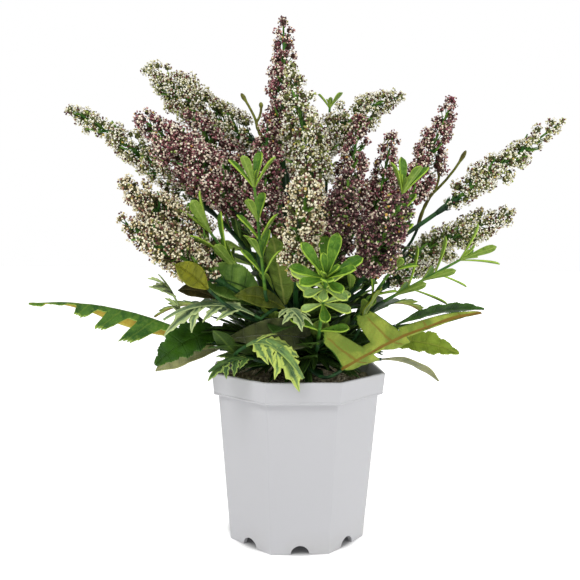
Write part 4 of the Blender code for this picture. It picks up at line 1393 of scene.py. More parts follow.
@dataclass
class SpoonSprig:
    """A sprig of spoon-shaped leaves in crossed pairs, with a tuft at its end."""

    name: str
    line: Line
    pairs: int
    tuft: int
    leaf_length_mm: float
    leaf_width_mm: float
    open_angle: float
    first_pair: float = 0.14
    stem_bow: Place = (0.0, 0.0, 0.0)
    whorls: tuple[tuple[float, int, float, float], ...] = ((1.0, 3, 0.45, 12.0),)
    upward_growth: float = 0.0
    has_solid: bool = True

    LAST_PAIR = 0.84
    INNER_SHARE = 0.62
    STEM_RADIUS_MM = 1.1
    THICKNESS = 0.0009

    def leaf(self, work: Patchwork, root: np.ndarray, heading: np.ndarray, facing: np.ndarray,
             size: float, slot: int = 0) -> None:
        """Add a leaf; those that point up grow longer.

        Args:
            work: The mesh so far.
            root: Where the leaf starts.
            heading: The way that it points.
            facing: The way that its upper face looks.
            size: Its share of the sprig's full leaf.
            slot: The material slot of its upper face.
        """
        grown = size * (1.0 + self.upward_growth * float(heading[2]))
        SmallLeaves.SPOON.value.add(work, root, heading, facing, self.leaf_length_mm * grown,
                                    self.leaf_width_mm * size, slot)

    def build(self, palette: Palette) -> bpy.types.Object:
        """Make the sprig's pieces: the leaves, and the stem that they sit on.

        Args:
            palette: The materials.

        Returns:
            The stem's piece.
        """
        rng = random.Random(self.name)
        leaves = Patchwork()
        opened = radians(self.open_angle)
        for pair in range(self.pairs):
            t = self.first_pair + (self.LAST_PAIR - self.first_pair) * pair / self.pairs
            along, side, upper = self.line.basis(t)
            turn = 0.5 * pi * pair + rng.uniform(-0.3, 0.3)
            size = rng.uniform(0.85, 1.05)
            for half_turn in (0.0, pi):
                out = side * cos(turn + half_turn) + upper * sin(turn + half_turn)
                heading = along * cos(opened) + out * sin(opened)
                self.leaf(leaves, self.line.at(t), heading, along - out * 0.4, size)
        along, side, upper = self.line.basis(1.0)
        root = self.line.at(1.0) - along * self.STEM_RADIUS_MM * MM
        for place in range(self.tuft):
            turn = tau * place / self.tuft + rng.uniform(-0.2, 0.2)
            out = side * cos(turn) + upper * sin(turn)
            lean = opened * (self.INNER_SHARE if place % 2 and self.tuft > 3 else 1.0)
            self.leaf(leaves, root, along * cos(lean) + out * sin(lean), along - out * 0.4, 1.0)
        self._add_whorls(leaves, rng)
        faces = (Finish.SPOON_TOP, Finish.SPOON_UNDER, Finish.PALE_TOP, Finish.SPOON_UNDER)
        piece = leaves.build(self.name + "_leaves", [palette[finish] for finish in faces])
        thicken(piece, self.THICKNESS)
        settle(piece, "spoon_leaf", *([self.name] if self.has_solid else []))
        stem = Patchwork()
        shares = np.linspace(0.0, 1.0, 16)
        radii = self.STEM_RADIUS_MM * (1.0 - 0.25 * shares) * MM
        stem.add_tube(self.line.at(shares), radii, 9)
        return settle(stem.build(self.name + "_stem", [palette[Finish.BRIGHT_STALK]]), "spoon_leaf")

    def _add_whorls(self, leaves: Patchwork, rng: random.Random) -> None:
        """Add whorls of smaller leaves: the place of each, its leaves, their size and how far they open.

        Args:
            leaves: The mesh so far.
            rng: The sprig's own random numbers.
        """
        for t, count, size, angle in self.whorls:
            along, side, upper = self.line.basis(t)
            for place in range(count):
                turn = tau * (place + 0.5) / count + rng.uniform(-0.25, 0.25)
                out = side * cos(turn) + upper * sin(turn)
                lean = radians(angle) + rng.uniform(-0.12, 0.12)
                self.leaf(leaves, self.line.at(t), along * cos(lean) + out * sin(lean), along - out * 0.4,
                          size * rng.uniform(0.88, 1.1), 2 if t < 1.0 and rng.random() < 0.7 else 0)


@dataclass
class Undergrowth:
    """Leaves of one kind that fill the heart of the arrangement, each growing from a stem."""

    name: str
    form: SmallLeaves
    faces: tuple[Finish, Finish]
    slot: str
    count: int
    lengths_mm: tuple[float, float]
    width_share: float
    heights_mm: tuple[float, float]
    widest_mm: float
    rise: tuple[float, float]
    paths: list[np.ndarray]
    clearings: tuple[tuple[float, float, float, float, float], ...] = (
        (-68.0, -24.0, 152.0, 186.0, -4.0), (-22.0, 4.0, 152.0, 196.0, -22.0),
        (36.0, 60.0, 138.0, 166.0, -6.0), (24.0, 74.0, 112.0, 150.0, -36.0),
        (-62.0, 62.0, 98.0, 122.0, -47.0))

    THICKNESS = 0.0006
    MIDDLE = 0.008

    def hides(self, places: np.ndarray) -> bool:
        """Whether any of the places stands in front of a large leaf.

        Args:
            places: Points, in metres.

        Returns:
            True if one lies in a clearing: a span in x, a span in z, and the y of the leaf, in mm.
        """
        x, y, z = places.T / MM
        return any(bool(((x > left) & (x < right) & (z > low) & (z < high) & (y < front)).any())
                   for left, right, low, high, front in self.clearings)

    def build(self, palette: Palette) -> bpy.types.Object:
        """Make the piece.

        Args:
            palette: The materials.

        Returns:
            The piece.
        """
        draw = np.random.default_rng(hash_of(self.name))
        points = np.concatenate([path[2:-1] for path in self.paths])
        reach = np.hypot(points[:, 0], points[:, 1])
        low, high = (height * MM for height in self.heights_mm)
        fit = (points[:, 2] > low) & (points[:, 2] < high) & (reach < self.widest_mm * MM)
        roots = points[fit][draw.permutation(int(fit.sum()))[:self.count]]
        work = Patchwork()
        for place, root in enumerate(roots):
            turn = place * GOLDEN_ANGLE
            if np.hypot(root[0], root[1]) > self.MIDDLE:
                turn = np.arctan2(root[1], root[0])
            turn += draw.uniform(-0.9, 0.9)
            out = np.array((cos(turn), sin(turn), 0.0))
            heading = unit(out + np.array((0.0, 0.0, draw.uniform(*self.rise))))
            tilt = out * draw.uniform(-0.6, 0.5)
            facing = unit(np.array(UP) - tilt + draw.normal(0.0, 0.25, 3))
            length = draw.uniform(*self.lengths_mm)
            shares = np.array((0.3, 0.6, 1.0))[:, None]
            if self.hides(root + heading * (length * MM) * shares):
                continue
            self.form.value.add(work, root, heading, facing, length, length * self.width_share)
        piece = work.build(self.name, [palette[finish] for finish in self.faces])
        thicken(piece, self.THICKNESS)
        return settle(piece, self.slot)


@dataclass
class BudTwig:
    """A bare forked twig with a bud at each end."""

    name: str
    foot: Place
    fork: Place
    tips: tuple[Place, ...]
    stem_bow: Place = (0.0, 0.0, 0.0)

    @property
    def line(self) -> Line:
        """The straight line from its foot to its fork."""
        return Line(self.foot, self.fork)

    def build(self, palette: Palette) -> bpy.types.Object:
        """Make the twig's piece.

        Args:
            palette: The materials.

        Returns:
            The piece.
        """
        work = Patchwork()
        stalk = Line(self.foot, self.fork, (-1.2, 0.0, 0.8))
        shares = np.linspace(0.0, 1.0, 9)
        knots = 1.0 + 0.12 * np.cos(tau * 3.0 * shares)
        work.add_tube(stalk.at(shares), (1.4 - 0.25 * shares) * knots * MM, 8)
        for tip in self.tips:
            arm = Line(self.fork, tip, (1.4, 0.0, -1.2))
            places = np.array([-0.02, 0.15, 0.35, 0.6, 0.76, 0.82, 0.88, 0.94, 0.98, 1.0])
            radii = np.array([1.1, 0.95, 0.9, 0.88, 0.92, 1.3, 1.6, 1.4, 0.9, 0.3])
            work.add_tube(arm.at(places), radii * MM, 8)
        return settle(work.build(self.name + "_bark", [palette[Finish.BARK]]), "twig", self.name)


@dataclass
class StemBundle:
    """The trunk, every stem that leaves it, and the strap leaves round its foot."""

    routes: list[tuple[np.ndarray, np.ndarray, Place, float]]

    SOIL_LEVEL_MM = 101.0
    LOWEST_BRANCH_MM = 108.0
    HIGHEST_BRANCH_MM = 146.0
    STRAIGHT_END_MM = 4.0
    SEAT_GAP_MM = 0.3
    LEAVE_RISE = 0.42
    LEAVE_REACH = 0.10
    HANDLE_SHARE = 0.30
    SEGMENTS = 18
    TRUNK_FOOT_MM = 66.0
    TRUNK_TOP_MM = 150.0
    TRUNK_RADII_MM = (5.6, 3.0)
    STRAPS = 13
    STRAP_ROOT_MM = 107.5
    STRAP_LENGTH_MM = 38.0
    STRAP_WIDTH_MM = 7.5
    STRAP_RISE = radians(20.0)
    STRAP_DROOP = 0.36
    STRAP_SECTION = ((1.0, 0.30), (0.5, 0.02), (0.0, -0.12), (-0.5, 0.02), (-1.0, 0.30), (-0.5, 0.14),
                     (0.0, 0.02), (0.5, 0.14))

    def path(self, end: np.ndarray, heading: np.ndarray, bow: Place) -> np.ndarray:
        """A stem's points from the trunk's middle to its end.

        Args:
            end: Where it ends, in metres.
            heading: The way that it arrives.
            bow: How far its middle stands off, in mm.

        Returns:
            The points, in metres.
        """
        reach = float(np.hypot(end[0], end[1]))
        rise = end[2] - self.SOIL_LEVEL_MM * MM
        leave = self.SOIL_LEVEL_MM * MM + self.LEAVE_RISE * rise - self.LEAVE_REACH * reach
        leave = min(max(leave, self.LOWEST_BRANCH_MM * MM), self.HIGHEST_BRANCH_MM * MM)
        root = np.array((0.0, 0.0, leave))
        span = float(np.linalg.norm(end - root))
        outward = np.array((end[0], end[1], 0.0)) / max(reach, 0.001)
        away = unit(outward * min(1.0, reach / 0.03) * 0.8 + np.array(UP))
        straight = end - heading * self.STRAIGHT_END_MM * MM
        first = root + away * self.HANDLE_SHARE * span
        second = straight - heading * self.HANDLE_SHARE * span
        t = np.linspace(0.0, 1.0, self.SEGMENTS)[:, None]
        u = 1.0 - t
        line = root * u ** 3 + first * 3 * u * u * t + second * 3 * u * t * t + straight * t ** 3
        return np.concatenate([line + np.array(bow) * MM * 4.0 * t * u, end[None]])

    def paths(self) -> list[tuple[np.ndarray, float]]:
        """Every stem's points, and its radius in mm."""
        return [(self.path(foot - heading * self.SEAT_GAP_MM * MM, heading, bow), radius)
                for foot, heading, bow, radius in self.routes]

    def build(self, palette: Palette) -> bpy.types.Object:
        """Make the stems' piece.

        Args:
            palette: The materials.

        Returns:
            The piece.
        """
        work = Patchwork()
        heights = np.linspace(self.TRUNK_FOOT_MM, self.TRUNK_TOP_MM, 22)
        trunk = np.stack([0.3 * np.sin(heights / 7.0), 0.3 * np.cos(heights / 9.0), heights], -1) * MM
        girth = np.interp(heights, (self.TRUNK_FOOT_MM, self.TRUNK_TOP_MM), self.TRUNK_RADII_MM)
        girth = girth * (1.0 + 0.05 * np.sin(heights * 0.9))
        work.add_tube(trunk, girth * MM, 14)
        for line, radius in self.paths():
            shares = np.linspace(0.0, 1.0, len(line))
            knuckle = 1.0 + 0.10 * np.exp(-((shares * 6.0 % 1.0 - 0.5) / 0.12) ** 2)
            work.add_tube(line, radius * (1.25 - 0.25 * shares) * knuckle * MM, 8)
        self._add_straps(work)
        piece = work.build("stems_and_straps", [palette[Finish.STALK]])
        return settle(piece, "stem", "stems")

    def _add_straps(self, work: Patchwork) -> None:
        """Add the strap leaves, each a thin folded band that droops.

        Args:
            work: The mesh so far.
        """
        for strap in range(self.STRAPS):
            turn = strap * GOLDEN_ANGLE
            heading = np.array((cos(turn) * cos(self.STRAP_RISE), sin(turn) * cos(self.STRAP_RISE),
                                sin(self.STRAP_RISE)))
            side = unit(np.cross(heading, UP))
            normal = np.cross(side, heading)
            length = self.STRAP_LENGTH_MM * (0.86 + 0.14 * cos(5.0 * turn)) * MM
            t = np.linspace(0.0, 1.0, 12)
            breadth = np.interp(t, (0.0, 0.42, 0.78, 1.0), (0.15, 0.54, 1.0, 0.05))
            half = 0.5 * self.STRAP_WIDTH_MM * MM * breadth
            middle = (np.array((0.0, 0.0, self.STRAP_ROOT_MM * MM)) + heading * (length * t)[:, None]
                      - normal * (self.STRAP_DROOP * length * t * t)[:, None])
            ring = [middle + side * (half * over)[:, None] + normal * (half * lift)[:, None]
                    for over, lift in self.STRAP_SECTION]
            work.add(np.stack(ring, 1), grid_triangles(len(t), len(ring), closed=True))


@dataclass
class OctagonPot:
    """The moulded pot: eight flat faces with softened corners, a banded rim and a notched foot."""

    height_mm: float = 108.5
    rim_half_mm: float = 55.0
    rim_foot_half_mm: float = 53.6
    band_height_mm: float = 13.8
    body_top_half_mm: float = 50.8
    base_half_mm: float = 42.9
    wall_mm: float = 2.0
    ring_mm: float = 3.0
    floor_underside_mm: float = 8.5
    floor_thickness_mm: float = 2.2
    notch_radius_mm: float = 5.8
    turn: float = radians(3.5)

    SIDES = 8
    CORNER_STEPS = 6
    CORNER_ROUND_MM = 1.9
    FULL_ROUND_MM = 40.0
    SHARP_FROM = radians(34.0)
    CUTTER_REACH_MM = 8.0

    def ring(self, half_mm: float, round_mm: float) -> np.ndarray:
        """The octagon's outline with rounded corners.

        Args:
            half_mm: Half the width across flats.
            round_mm: The corners' radius.

        Returns:
            The points in the plane, in mm.
        """
        points = []
        corner = half_mm / cos(pi / self.SIDES)
        back = min(round_mm, half_mm * 0.2)
        for index in range(self.SIDES):
            middle = self.turn + tau * (index + 0.5) / self.SIDES
            centre = (corner - back / cos(pi / self.SIDES)) * np.array((cos(middle), sin(middle)))
            for step in range(self.CORNER_STEPS):
                angle = middle + (step / (self.CORNER_STEPS - 1) - 0.5) * tau / self.SIDES
                points.append(centre + back * np.array((cos(angle), sin(angle))))
        return np.array(points)

    def levels(self) -> list[tuple[float, float]]:
        """The wall's section, from the floor's underside out, up the outside and down the inside.

        Returns:
            Half widths and heights, in mm.
        """
        band = self.height_mm - self.band_height_mm
        top = self.height_mm
        floor_top = self.floor_underside_mm + self.floor_thickness_mm
        base, rim, rim_foot = self.base_half_mm, self.rim_half_mm, self.rim_foot_half_mm
        inside = rim - self.wall_mm
        rows = [(0.01, self.floor_underside_mm), (base - self.ring_mm - 0.5, self.floor_underside_mm),
                (base - self.ring_mm, self.floor_underside_mm - 0.5), (base - self.ring_mm, 0.5),
                (base - self.ring_mm + 0.4, 0.05), (base - self.ring_mm + 0.7, 0.0), (base - 0.7, 0.0),
                (base - 0.3, 0.08), (base - 0.05, 0.35), (base + 0.06, 0.8)]
        slope = (self.body_top_half_mm - base) / band
        rows += [(base + slope * z, z) for z in np.linspace(4.0, band - 1.2, 9)]
        rows += [(self.body_top_half_mm - 0.05, band - 0.5), (self.body_top_half_mm + 0.3, band),
                 (rim_foot - 0.7, band), (rim_foot - 0.1, band + 0.15), (rim_foot + 0.25, band + 0.6),
                 (rim_foot + 0.28, band + 1.1), (rim_foot + 0.05, band + 1.5)]
        rim_slope = (rim - rim_foot) / self.band_height_mm
        rows += [(rim_foot + rim_slope * z, band + z) for z in (2.4, 5.0, 8.0, 11.0, 12.6)]
        rows += [(rim - 0.02, top - 0.7), (rim - 0.25, top - 0.2), (rim - 0.7, top),
                 (inside + 0.6, top), (inside + 0.2, top - 0.15), (inside, top - 0.6)]
        inner_top = self.body_top_half_mm - self.wall_mm
        rows += [(inner_top + (inside - inner_top) * 0.5, (band + top) / 2), (inner_top, band)]
        rows += [(base + slope * floor_top - self.wall_mm, floor_top + 1.0),
                 (base + slope * floor_top - self.wall_mm - 1.0, floor_top), (0.01, floor_top)]
        return rows

    def build(self, palette: Palette) -> bpy.types.Object:
        """Make the pot's piece.

        Args:
            palette: The materials.

        Returns:
            The piece.
        """
        count = self.SIDES * self.CORNER_STEPS
        rings = [np.column_stack([self.ring(half, self.CORNER_ROUND_MM * min(1.0, half / self.FULL_ROUND_MM)),
                                  np.full(count, z)]) for half, z in self.levels()]
        work = Patchwork()
        work.add(np.stack(rings) * MM, grid_triangles(len(rings), count, closed=True))
        pot = work.build("pot_shell", [palette[Finish.PLASTIC]])
        self._close_middles(pot)
        cutter = self._notches()
        cut = pot.modifiers.new("notches", "BOOLEAN")
        cut.operation = "DIFFERENCE"
        cut.solver = "EXACT"
        cut.object = cutter
        bpy.context.view_layer.update()
        shape = bpy.data.meshes.new_from_object(pot.evaluated_get(bpy.context.evaluated_depsgraph_get()))
        pot.modifiers.clear()
        pot.data = shape
        bpy.data.objects.remove(cutter, do_unlink=True)
        pot.data.shade_smooth()
        pot.data.set_sharp_from_angle(angle=self.SHARP_FROM)
        return settle(pot, "pot", "pot")

    def _close_middles(self, pot: bpy.types.Object) -> None:
        """Merge the two tiny rings in the middle of the floor into points."""
        weld = pot.modifiers.new("middles", "WELD")
        weld.merge_threshold = 0.00005

    def _notches(self) -> bpy.types.Object:
        """The round cutters of the foot's notches, one in each face.

        Returns:
            The cutters, as one object.
        """
        work = Patchwork()
        for face in range(self.SIDES):
            angle = self.turn + tau * face / self.SIDES
            out = np.array((cos(angle), sin(angle), 0.0))
            ends = self.base_half_mm + np.array([-self.CUTTER_REACH_MM, self.CUTTER_REACH_MM])
            work.add_tube(out * ends[:, None] * MM, self.notch_radius_mm * MM, 40)
        return work.build("notch_cutter", [])


@dataclass
class PottingMix:
    """The soil: an uneven crumbly surface that fills the pot, with loose crumbs and bark chips on it."""

    pot: OctagonPot
    level_mm: float = 101.0
    relief_mm: float = 1.3
    clearance_mm: float = 0.9

    RINGS = 26
    AROUND = 120
    CRUMBS = 1500
    CHIP_SHARE = 0.08
    SKIRT_MM = 2.0
    SEED = 23

    def half_at(self, z_mm: float) -> float:
        """The inside's half width at a height.

        Args:
            z_mm: The height.

        Returns:
            The half width, in mm.
        """
        band = self.pot.height_mm - self.pot.band_height_mm
        if z_mm > band:
            rise = (z_mm - band) / self.pot.band_height_mm
            low, high = self.pot.body_top_half_mm, self.pot.rim_half_mm
            return low + (high - low) * rise - self.pot.wall_mm - self.clearance_mm
        return (self.pot.base_half_mm + (self.pot.body_top_half_mm - self.pot.base_half_mm) * z_mm / band
                - self.pot.wall_mm - self.clearance_mm)

    def outline(self, half_mm: float) -> np.ndarray:
        """The octagon of a half width, in points evenly round.

        Args:
            half_mm: Half the width across flats.

        Returns:
            The points, in mm.
        """
        angle = np.arange(self.AROUND) * tau / self.AROUND
        sector = tau / self.pot.SIDES
        within = (angle - self.pot.turn + sector / 2) % sector - sector / 2
        radius = half_mm / np.cos(within)
        return np.stack([radius * np.cos(angle), radius * np.sin(angle)], -1)

    def height(self, x_mm: float, y_mm: float) -> float:
        """The surface's height at a place.

        Args:
            x_mm: The place's x.
            y_mm: Its y.

        Returns:
            The height, in mm.
        """
        rough = noise.noise(Vector((x_mm * 0.16, y_mm * 0.16, 3.1)))
        fine = noise.noise(Vector((x_mm * 0.6, y_mm * 0.6, 7.7)))
        return self.level_mm + self.relief_mm * (rough * 0.9 + fine * 0.5)

    def build(self, palette: Palette) -> bpy.types.Object:
        """Make the soil's piece.

        Args:
            palette: The materials.

        Returns:
            The piece.
        """
        draw = np.random.default_rng(self.SEED)
        work = Patchwork()
        rows = []
        floor = self.pot.floor_underside_mm + self.pot.floor_thickness_mm + 0.3
        for z in np.linspace(floor, self.level_mm - self.SKIRT_MM, 5):
            rows.append(np.column_stack([self.outline(self.half_at(z)), np.full(self.AROUND, z)]))
        for share in np.linspace(1.0, 0.12, self.RINGS):
            flat = self.outline(self.half_at(self.level_mm - self.SKIRT_MM) * share)
            rows.append(np.array([(x, y, self.height(x, y)) for x, y in flat]))
        marks = draw.uniform(0.2, 0.8, (len(rows) * self.AROUND, 3))
        work.add(np.stack(rows) * MM, grid_triangles(len(rows), self.AROUND, closed=True), marks)
        self._add_crumbs(work, draw)
        return settle(work.build("potting_mix_surface", [palette[Finish.SOIL]]), "soil", "soil")

    def _add_crumbs(self, work: Patchwork, draw: np.random.Generator) -> None:
        """Scatter loose crumbs, and now and then a flat chip of bark.

        Args:
            work: The mesh so far.
            draw: The soil's own random numbers.
        """
        corners = np.array([(x, y, z) for x in (-1, 1) for y in (-1, 1) for z in (-1, 1)]) * 0.58
        faces = np.array([(0, 1, 3), (0, 3, 2), (4, 6, 7), (4, 7, 5), (0, 4, 5), (0, 5, 1),
                          (2, 3, 7), (2, 7, 6), (0, 2, 6), (0, 6, 4), (1, 5, 7), (1, 7, 3)])
        widest = self.half_at(self.level_mm) - 2.0
        for _ in range(self.CRUMBS):
            angle, share = draw.uniform(0.0, tau), np.sqrt(draw.uniform(0.02, 1.0))
            x, y = widest * share * np.array((cos(angle), sin(angle)))
            size = draw.uniform(0.5, 1.5)
            chip = draw.uniform() < self.CHIP_SHARE
            stretch = np.array((2.6, 1.1, 0.35)) if chip else draw.uniform(0.7, 1.2, 3)
            spin = Matrix.Rotation(draw.uniform(0.0, tau), 3, "Z")
            spin = spin @ Matrix.Rotation(draw.uniform(-0.5, 0.5), 3, "X")
            shape = corners * draw.uniform(0.75, 1.25, (8, 1)) * stretch * size
            placed = shape @ np.array(spin.transposed()) + np.array((x, y, self.height(x, y) + 0.25 * size))
            work.add(placed * MM, faces, np.full((8, 3), draw.uniform()))


@dataclass
class Studio:
    """The pale floor, the soft lights and the camera at the photograph's angle."""

    eye: Place = (-0.00504, -0.440, 0.1855)
    look_down: float = 3.374
    camera_roll: float = 0.566
    focal_pixels: float = 666.9

    SENSOR_MM = 36.0
    FLOOR_REACH = 6.0
    WHITE = (1.0, 1.0, 1.0)
    CEILING = (0.36, 0.36, 0.36)
    WHITE_UP_TO = 0.38
    DIM_FROM = 0.48
    AIM = (0.0, 0.0, 0.17)
    BOXES = (("key_box", (-0.45, -0.75, 1.10), 0.45, 9.0), ("side_box", (1.0, -0.35, 0.55), 0.5, 4.5),
             ("back_box", (0.2, 0.9, 0.9), 0.6, 3.0))

    def build(self, palette: Palette) -> None:
        """Set the stage.

        Args:
            palette: The materials.
        """
        self._floor(palette)
        self._lights()
        self._camera()
        bpy.context.scene.view_settings.view_transform = "Standard"

    def _floor(self, palette: Palette) -> None:
        """A wide plain floor.

        Args:
            palette: The materials.
        """
        work = Patchwork()
        corners = self.FLOOR_REACH * np.array([(-1, -1, 0), (1, -1, 0), (1, 1, 0), (-1, 1, 0)])
        work.add(corners, np.array([(0, 1, 2), (0, 2, 3)]))
        floor = work.build("floor", [palette[Finish.FLOOR]], smooth=False)

    def _lights(self) -> None:
        """A white surround with a dimmer ceiling, and soft boxes above in front, at the right and behind."""
        shader = Shader(bpy.data.worlds.new("surround"), "Generated")
        colour = shader.ramp(shader.height(), ((self.WHITE_UP_TO, self.WHITE), (self.DIM_FROM, self.CEILING)))
        surround = shader.node("ShaderNodeBackground", {}, {"Color": colour, "Strength": 1.0})
        shader.node("ShaderNodeOutputWorld", {}, {0: surround.outputs[0]})
        bpy.context.scene.world = shader.holder
        for name, where, size, power in self.BOXES:
            lamp = bpy.data.lights.new(name, "AREA")
            lamp.size = size
            lamp.energy = power
            holder = bpy.data.objects.new(name, lamp)
            holder.location = where
            aim = Vector(self.AIM) - Vector(where)
            holder.rotation_euler = aim.to_track_quat("-Z", "Y").to_euler()
            bpy.context.scene.collection.objects.link(holder)

    def _camera(self) -> None:
        """The camera, level but for a slight look down and roll."""
        lens = bpy.data.cameras.new("camera")
        lens.sensor_width = self.SENSOR_MM
        lens.lens = self.SENSOR_MM * self.focal_pixels / IMAGE_PIXELS
        camera = bpy.data.objects.new("camera", lens)
        tilt = Matrix.Rotation(pi / 2 - radians(self.look_down), 4, "X")
        roll = Matrix.Rotation(radians(self.camera_roll), 4, "Z")
        camera.matrix_world = Matrix.Translation(self.eye) @ tilt @ roll
        bpy.context.scene.collection.objects.link(camera)
        bpy.context.scene.camera = camera


@dataclass
class Arrangement:
    """All the pieces, in their places."""

    SPIKE_STEM_MM = 1.4
    SPRIG_STEM_MM = 1.1
    LEAF_STEM_MM = 1.0

    def spikes(self) -> list[FlowerSpike]:
        """The flower spikes.

        Returns:
            The spikes, in their places.
        """
        rows = (
            ("spike_purple_top", (-10, 8, 244), (-11, 5, 336), 10.0),
            ("spike_purple_left", (-36, -13, 207), (-99, -24, 267), 13.0, (0, 0, 4)),
            ("spike_purple_left_upper", (-33, 9, 220), (-72, 3, 275), 10.5),
            ("spike_purple_rear_left", (-30, 31, 214), (-40, 42, 268), 9.0),
            ("spike_purple_centre_left", (-24, -25, 188), (-20, -10, 269), 10.5),
            ("spike_purple_centre_right", (28, -3, 198), (39, -4, 271), 10.5),
            ("spike_purple_right_inner", (48, 6, 196), (63, 13, 264), 9.0),
            ("spike_purple_right", (71, 13, 210), (103, 15, 287), 10.0),
            ("spike_purple_front_right", (39, -43, 172), (52, -94, 212), 11.5),
            ("spike_purple_front", (20, -31, 176), (30, -42, 232), 11.0),
            ("spike_purple_back_left", (-34, 52, 196), (-70, 102, 248), 11.5),
            ("spike_purple_back_right", (46, 50, 186), (84, 96, 242), 11.5),
            ("spike_purple_back_top", (-12, 40, 226), (-14, 76, 298), 10.5),
            ("spike_cream_top", (11, -18, 210), (-5, -26, 298), 12.0),
            ("spike_cream_upper_left", (-26, 22, 258), (-106, 30, 311), 12.0, (0, 0, -3)),
            ("spike_cream_left", (-64, 9, 216), (-152, 9, 278), 9.5, (0, 0, 3)),
            ("spike_cream_low_left", (-48, -24, 176), (-108, -30, 226), 12.5),
            ("spike_cream_low_left_second", (-48, -44, 168), (-102, -60, 202), 10.0),
            ("spike_cream_upper_right", (12, 16, 243), (69, 25, 292), 10.5, (-4, 0, 8)),
            ("spike_cream_far_right", (98, 5, 216), (173, 5, 272), 8.5),
            ("spike_cream_right", (72, 9, 181), (144, 12, 213), 9.5),
            ("spike_cream_front", (-1, -46, 170), (3, -103, 221), 10.5),
            ("spike_cream_back", (8, 58, 190), (12, 104, 250), 11.5),
            ("spike_cream_back_left", (-62, 46, 166), (-120, 84, 206), 11.5),
            ("spike_cream_back_right", (66, 42, 162), (124, 82, 200), 11.5),
        )
        dark = {"spike_purple_front_right", "spike_purple_front"}
        sandy = {"spike_cream_front", "spike_cream_low_left", "spike_cream_low_left_second"}
        blunt = {"spike_cream_upper_left", "spike_cream_right"}
        spikes = []
        for name, foot, tip, radius, *bow in rows:
            purple = name.startswith("spike_purple")
            plain, special = (Finish.PURPLE, Finish.PLUM) if purple else (Finish.CREAM, Finish.SAND)
            florets = special if name in dark | sandy else plain
            spikes.append(FlowerSpike(name, Line(foot, tip, *bow), radius, florets,
                                      "purple_floret" if purple else "cream_floret",
                                      looseness=0.05 if purple else 0.08,
                                      fall_power=2.6 if name in blunt else 1.6))
        return spikes

    def sprigs(self) -> list[SpoonSprig]:
        """The sprigs of spoon-shaped leaves.

        Returns:
            The sprigs, in their places.
        """
        rows = (
            ("sprig_front_rosette", (12, -42, 130), (14, -86, 171), 1, 9, 19, 7.0, 62, 0.22, (0, 0, 0),
             ((1.0, 3, 0.55, 26.0), (0.86, 6, 0.90, 68.0), (0.64, 6, 0.86, 80.0)), 0.36),
            ("sprig_left_upright", (-20, -42, 162), (-26, -56, 222), 4, 4, 22, 6.0, 34, 0.14, (0, 8, 4)),
            ("sprig_left_inner", (-32, 15, 160), (-62, 24, 192), 3, 3, 18, 6, 36),
            ("sprig_right_long", (54, -20, 154), (104, -13, 181), 4, 4, 27, 4.8, 44, 0.14, (0, 0, -6)),
            ("sprig_right_upright", (54, -24, 182), (62, -38, 221), 3, 4, 22, 6.2, 30),
            ("sprig_top", (20, 36, 232), (22, 42, 288), 3, 2, 14, 6, 34),
            ("sprig_right_low", (36, -22, 142), (57, -31, 174), 2, 3, 17, 7, 36),
            ("sprig_back_left", (-24, 44, 156), (-42, 88, 186), 3, 4, 19, 8, 44),
            ("sprig_back_right", (20, 48, 156), (54, 88, 178), 3, 4, 19, 8, 44),
            ("sprig_left_low", (-34, -26, 168), (-54, -31, 196), 2, 4, 27, 6.6, 24),
        )
        extra = {"sprig_left_low"}
        return [SpoonSprig(name, Line(foot, tip), *rest, has_solid=name not in extra)
                for name, foot, tip, *rest in rows]

    def leaves(self) -> list[LeafBlade]:
        """The single leaves.

        Returns:
            The leaves, in their places.
        """
        lobed = (Outlines.LOBED, (Finish.LOBED_TOP, Finish.LOBED_UNDER), "lobed_leaf")
        toothed = (Outlines.TOOTHED, (Finish.LOBED_TOP, Finish.LOBED_UNDER), "lobed_leaf")
        folded = (Outlines.FOLDED, (Finish.FOLDED_TOP, Finish.OCHRE_UNDER), "lobed_leaf")
        plain = (Outlines.TOOTHED, (Finish.LOBED_TOP, Finish.LOBED_TOP), "lobed_leaf")
        deep = (Outlines.CUT, (Finish.CUT_DEEP, Finish.CUT_UNDER), "cut_leaf")
        veined = (Outlines.OVATE, (Finish.VEINED_TOP, Finish.VEINED_TOP), "ovate_leaf")
        amber = (Outlines.OVATE, (Finish.AMBER_TOP, Finish.AMBER_TOP), "ovate_leaf")
        brown = (Outlines.FELTED, (Finish.BROWN_TOP, Finish.BROWN_TOP), "felted_leaf")
        dusky = (Outlines.OVATE, (Finish.DUSKY_TOP, Finish.DUSKY_TOP), "ovate_leaf")
        golden = (Outlines.TOOTHED, (Finish.GOLDEN_TOP, Finish.GOLDEN_TOP), "lobed_leaf")
        pale = (Outlines.FELTED, (Finish.FELTED_UNDER, Finish.FELTED_UNDER), "felted_leaf")
        broad = (Outlines.BROAD, (Finish.LOBED_TOP, Finish.BROAD_UNDER), "lobed_leaf")
        cut = (Outlines.CUT, (Finish.CUT_TOP, Finish.CUT_UNDER), "cut_leaf")
        bright = (Outlines.CUT, (Finish.CUT_BRIGHT, Finish.CUT_UNDER), "cut_leaf")
        olive = (Outlines.OVATE, (Finish.OLIVE_TOP, Finish.OVATE_UNDER), "ovate_leaf")
        felted = (Outlines.FELTED, (Finish.FELTED_TOP, Finish.FELTED_UNDER), "felted_leaf")
        blunt = (Outlines.BLUNT, (Finish.FELTED_TOP, Finish.FELTED_UNDER), "felted_leaf")
        ovate = (Outlines.OVATE, (Finish.OVATE_TOP, Finish.OVATE_UNDER), "ovate_leaf")
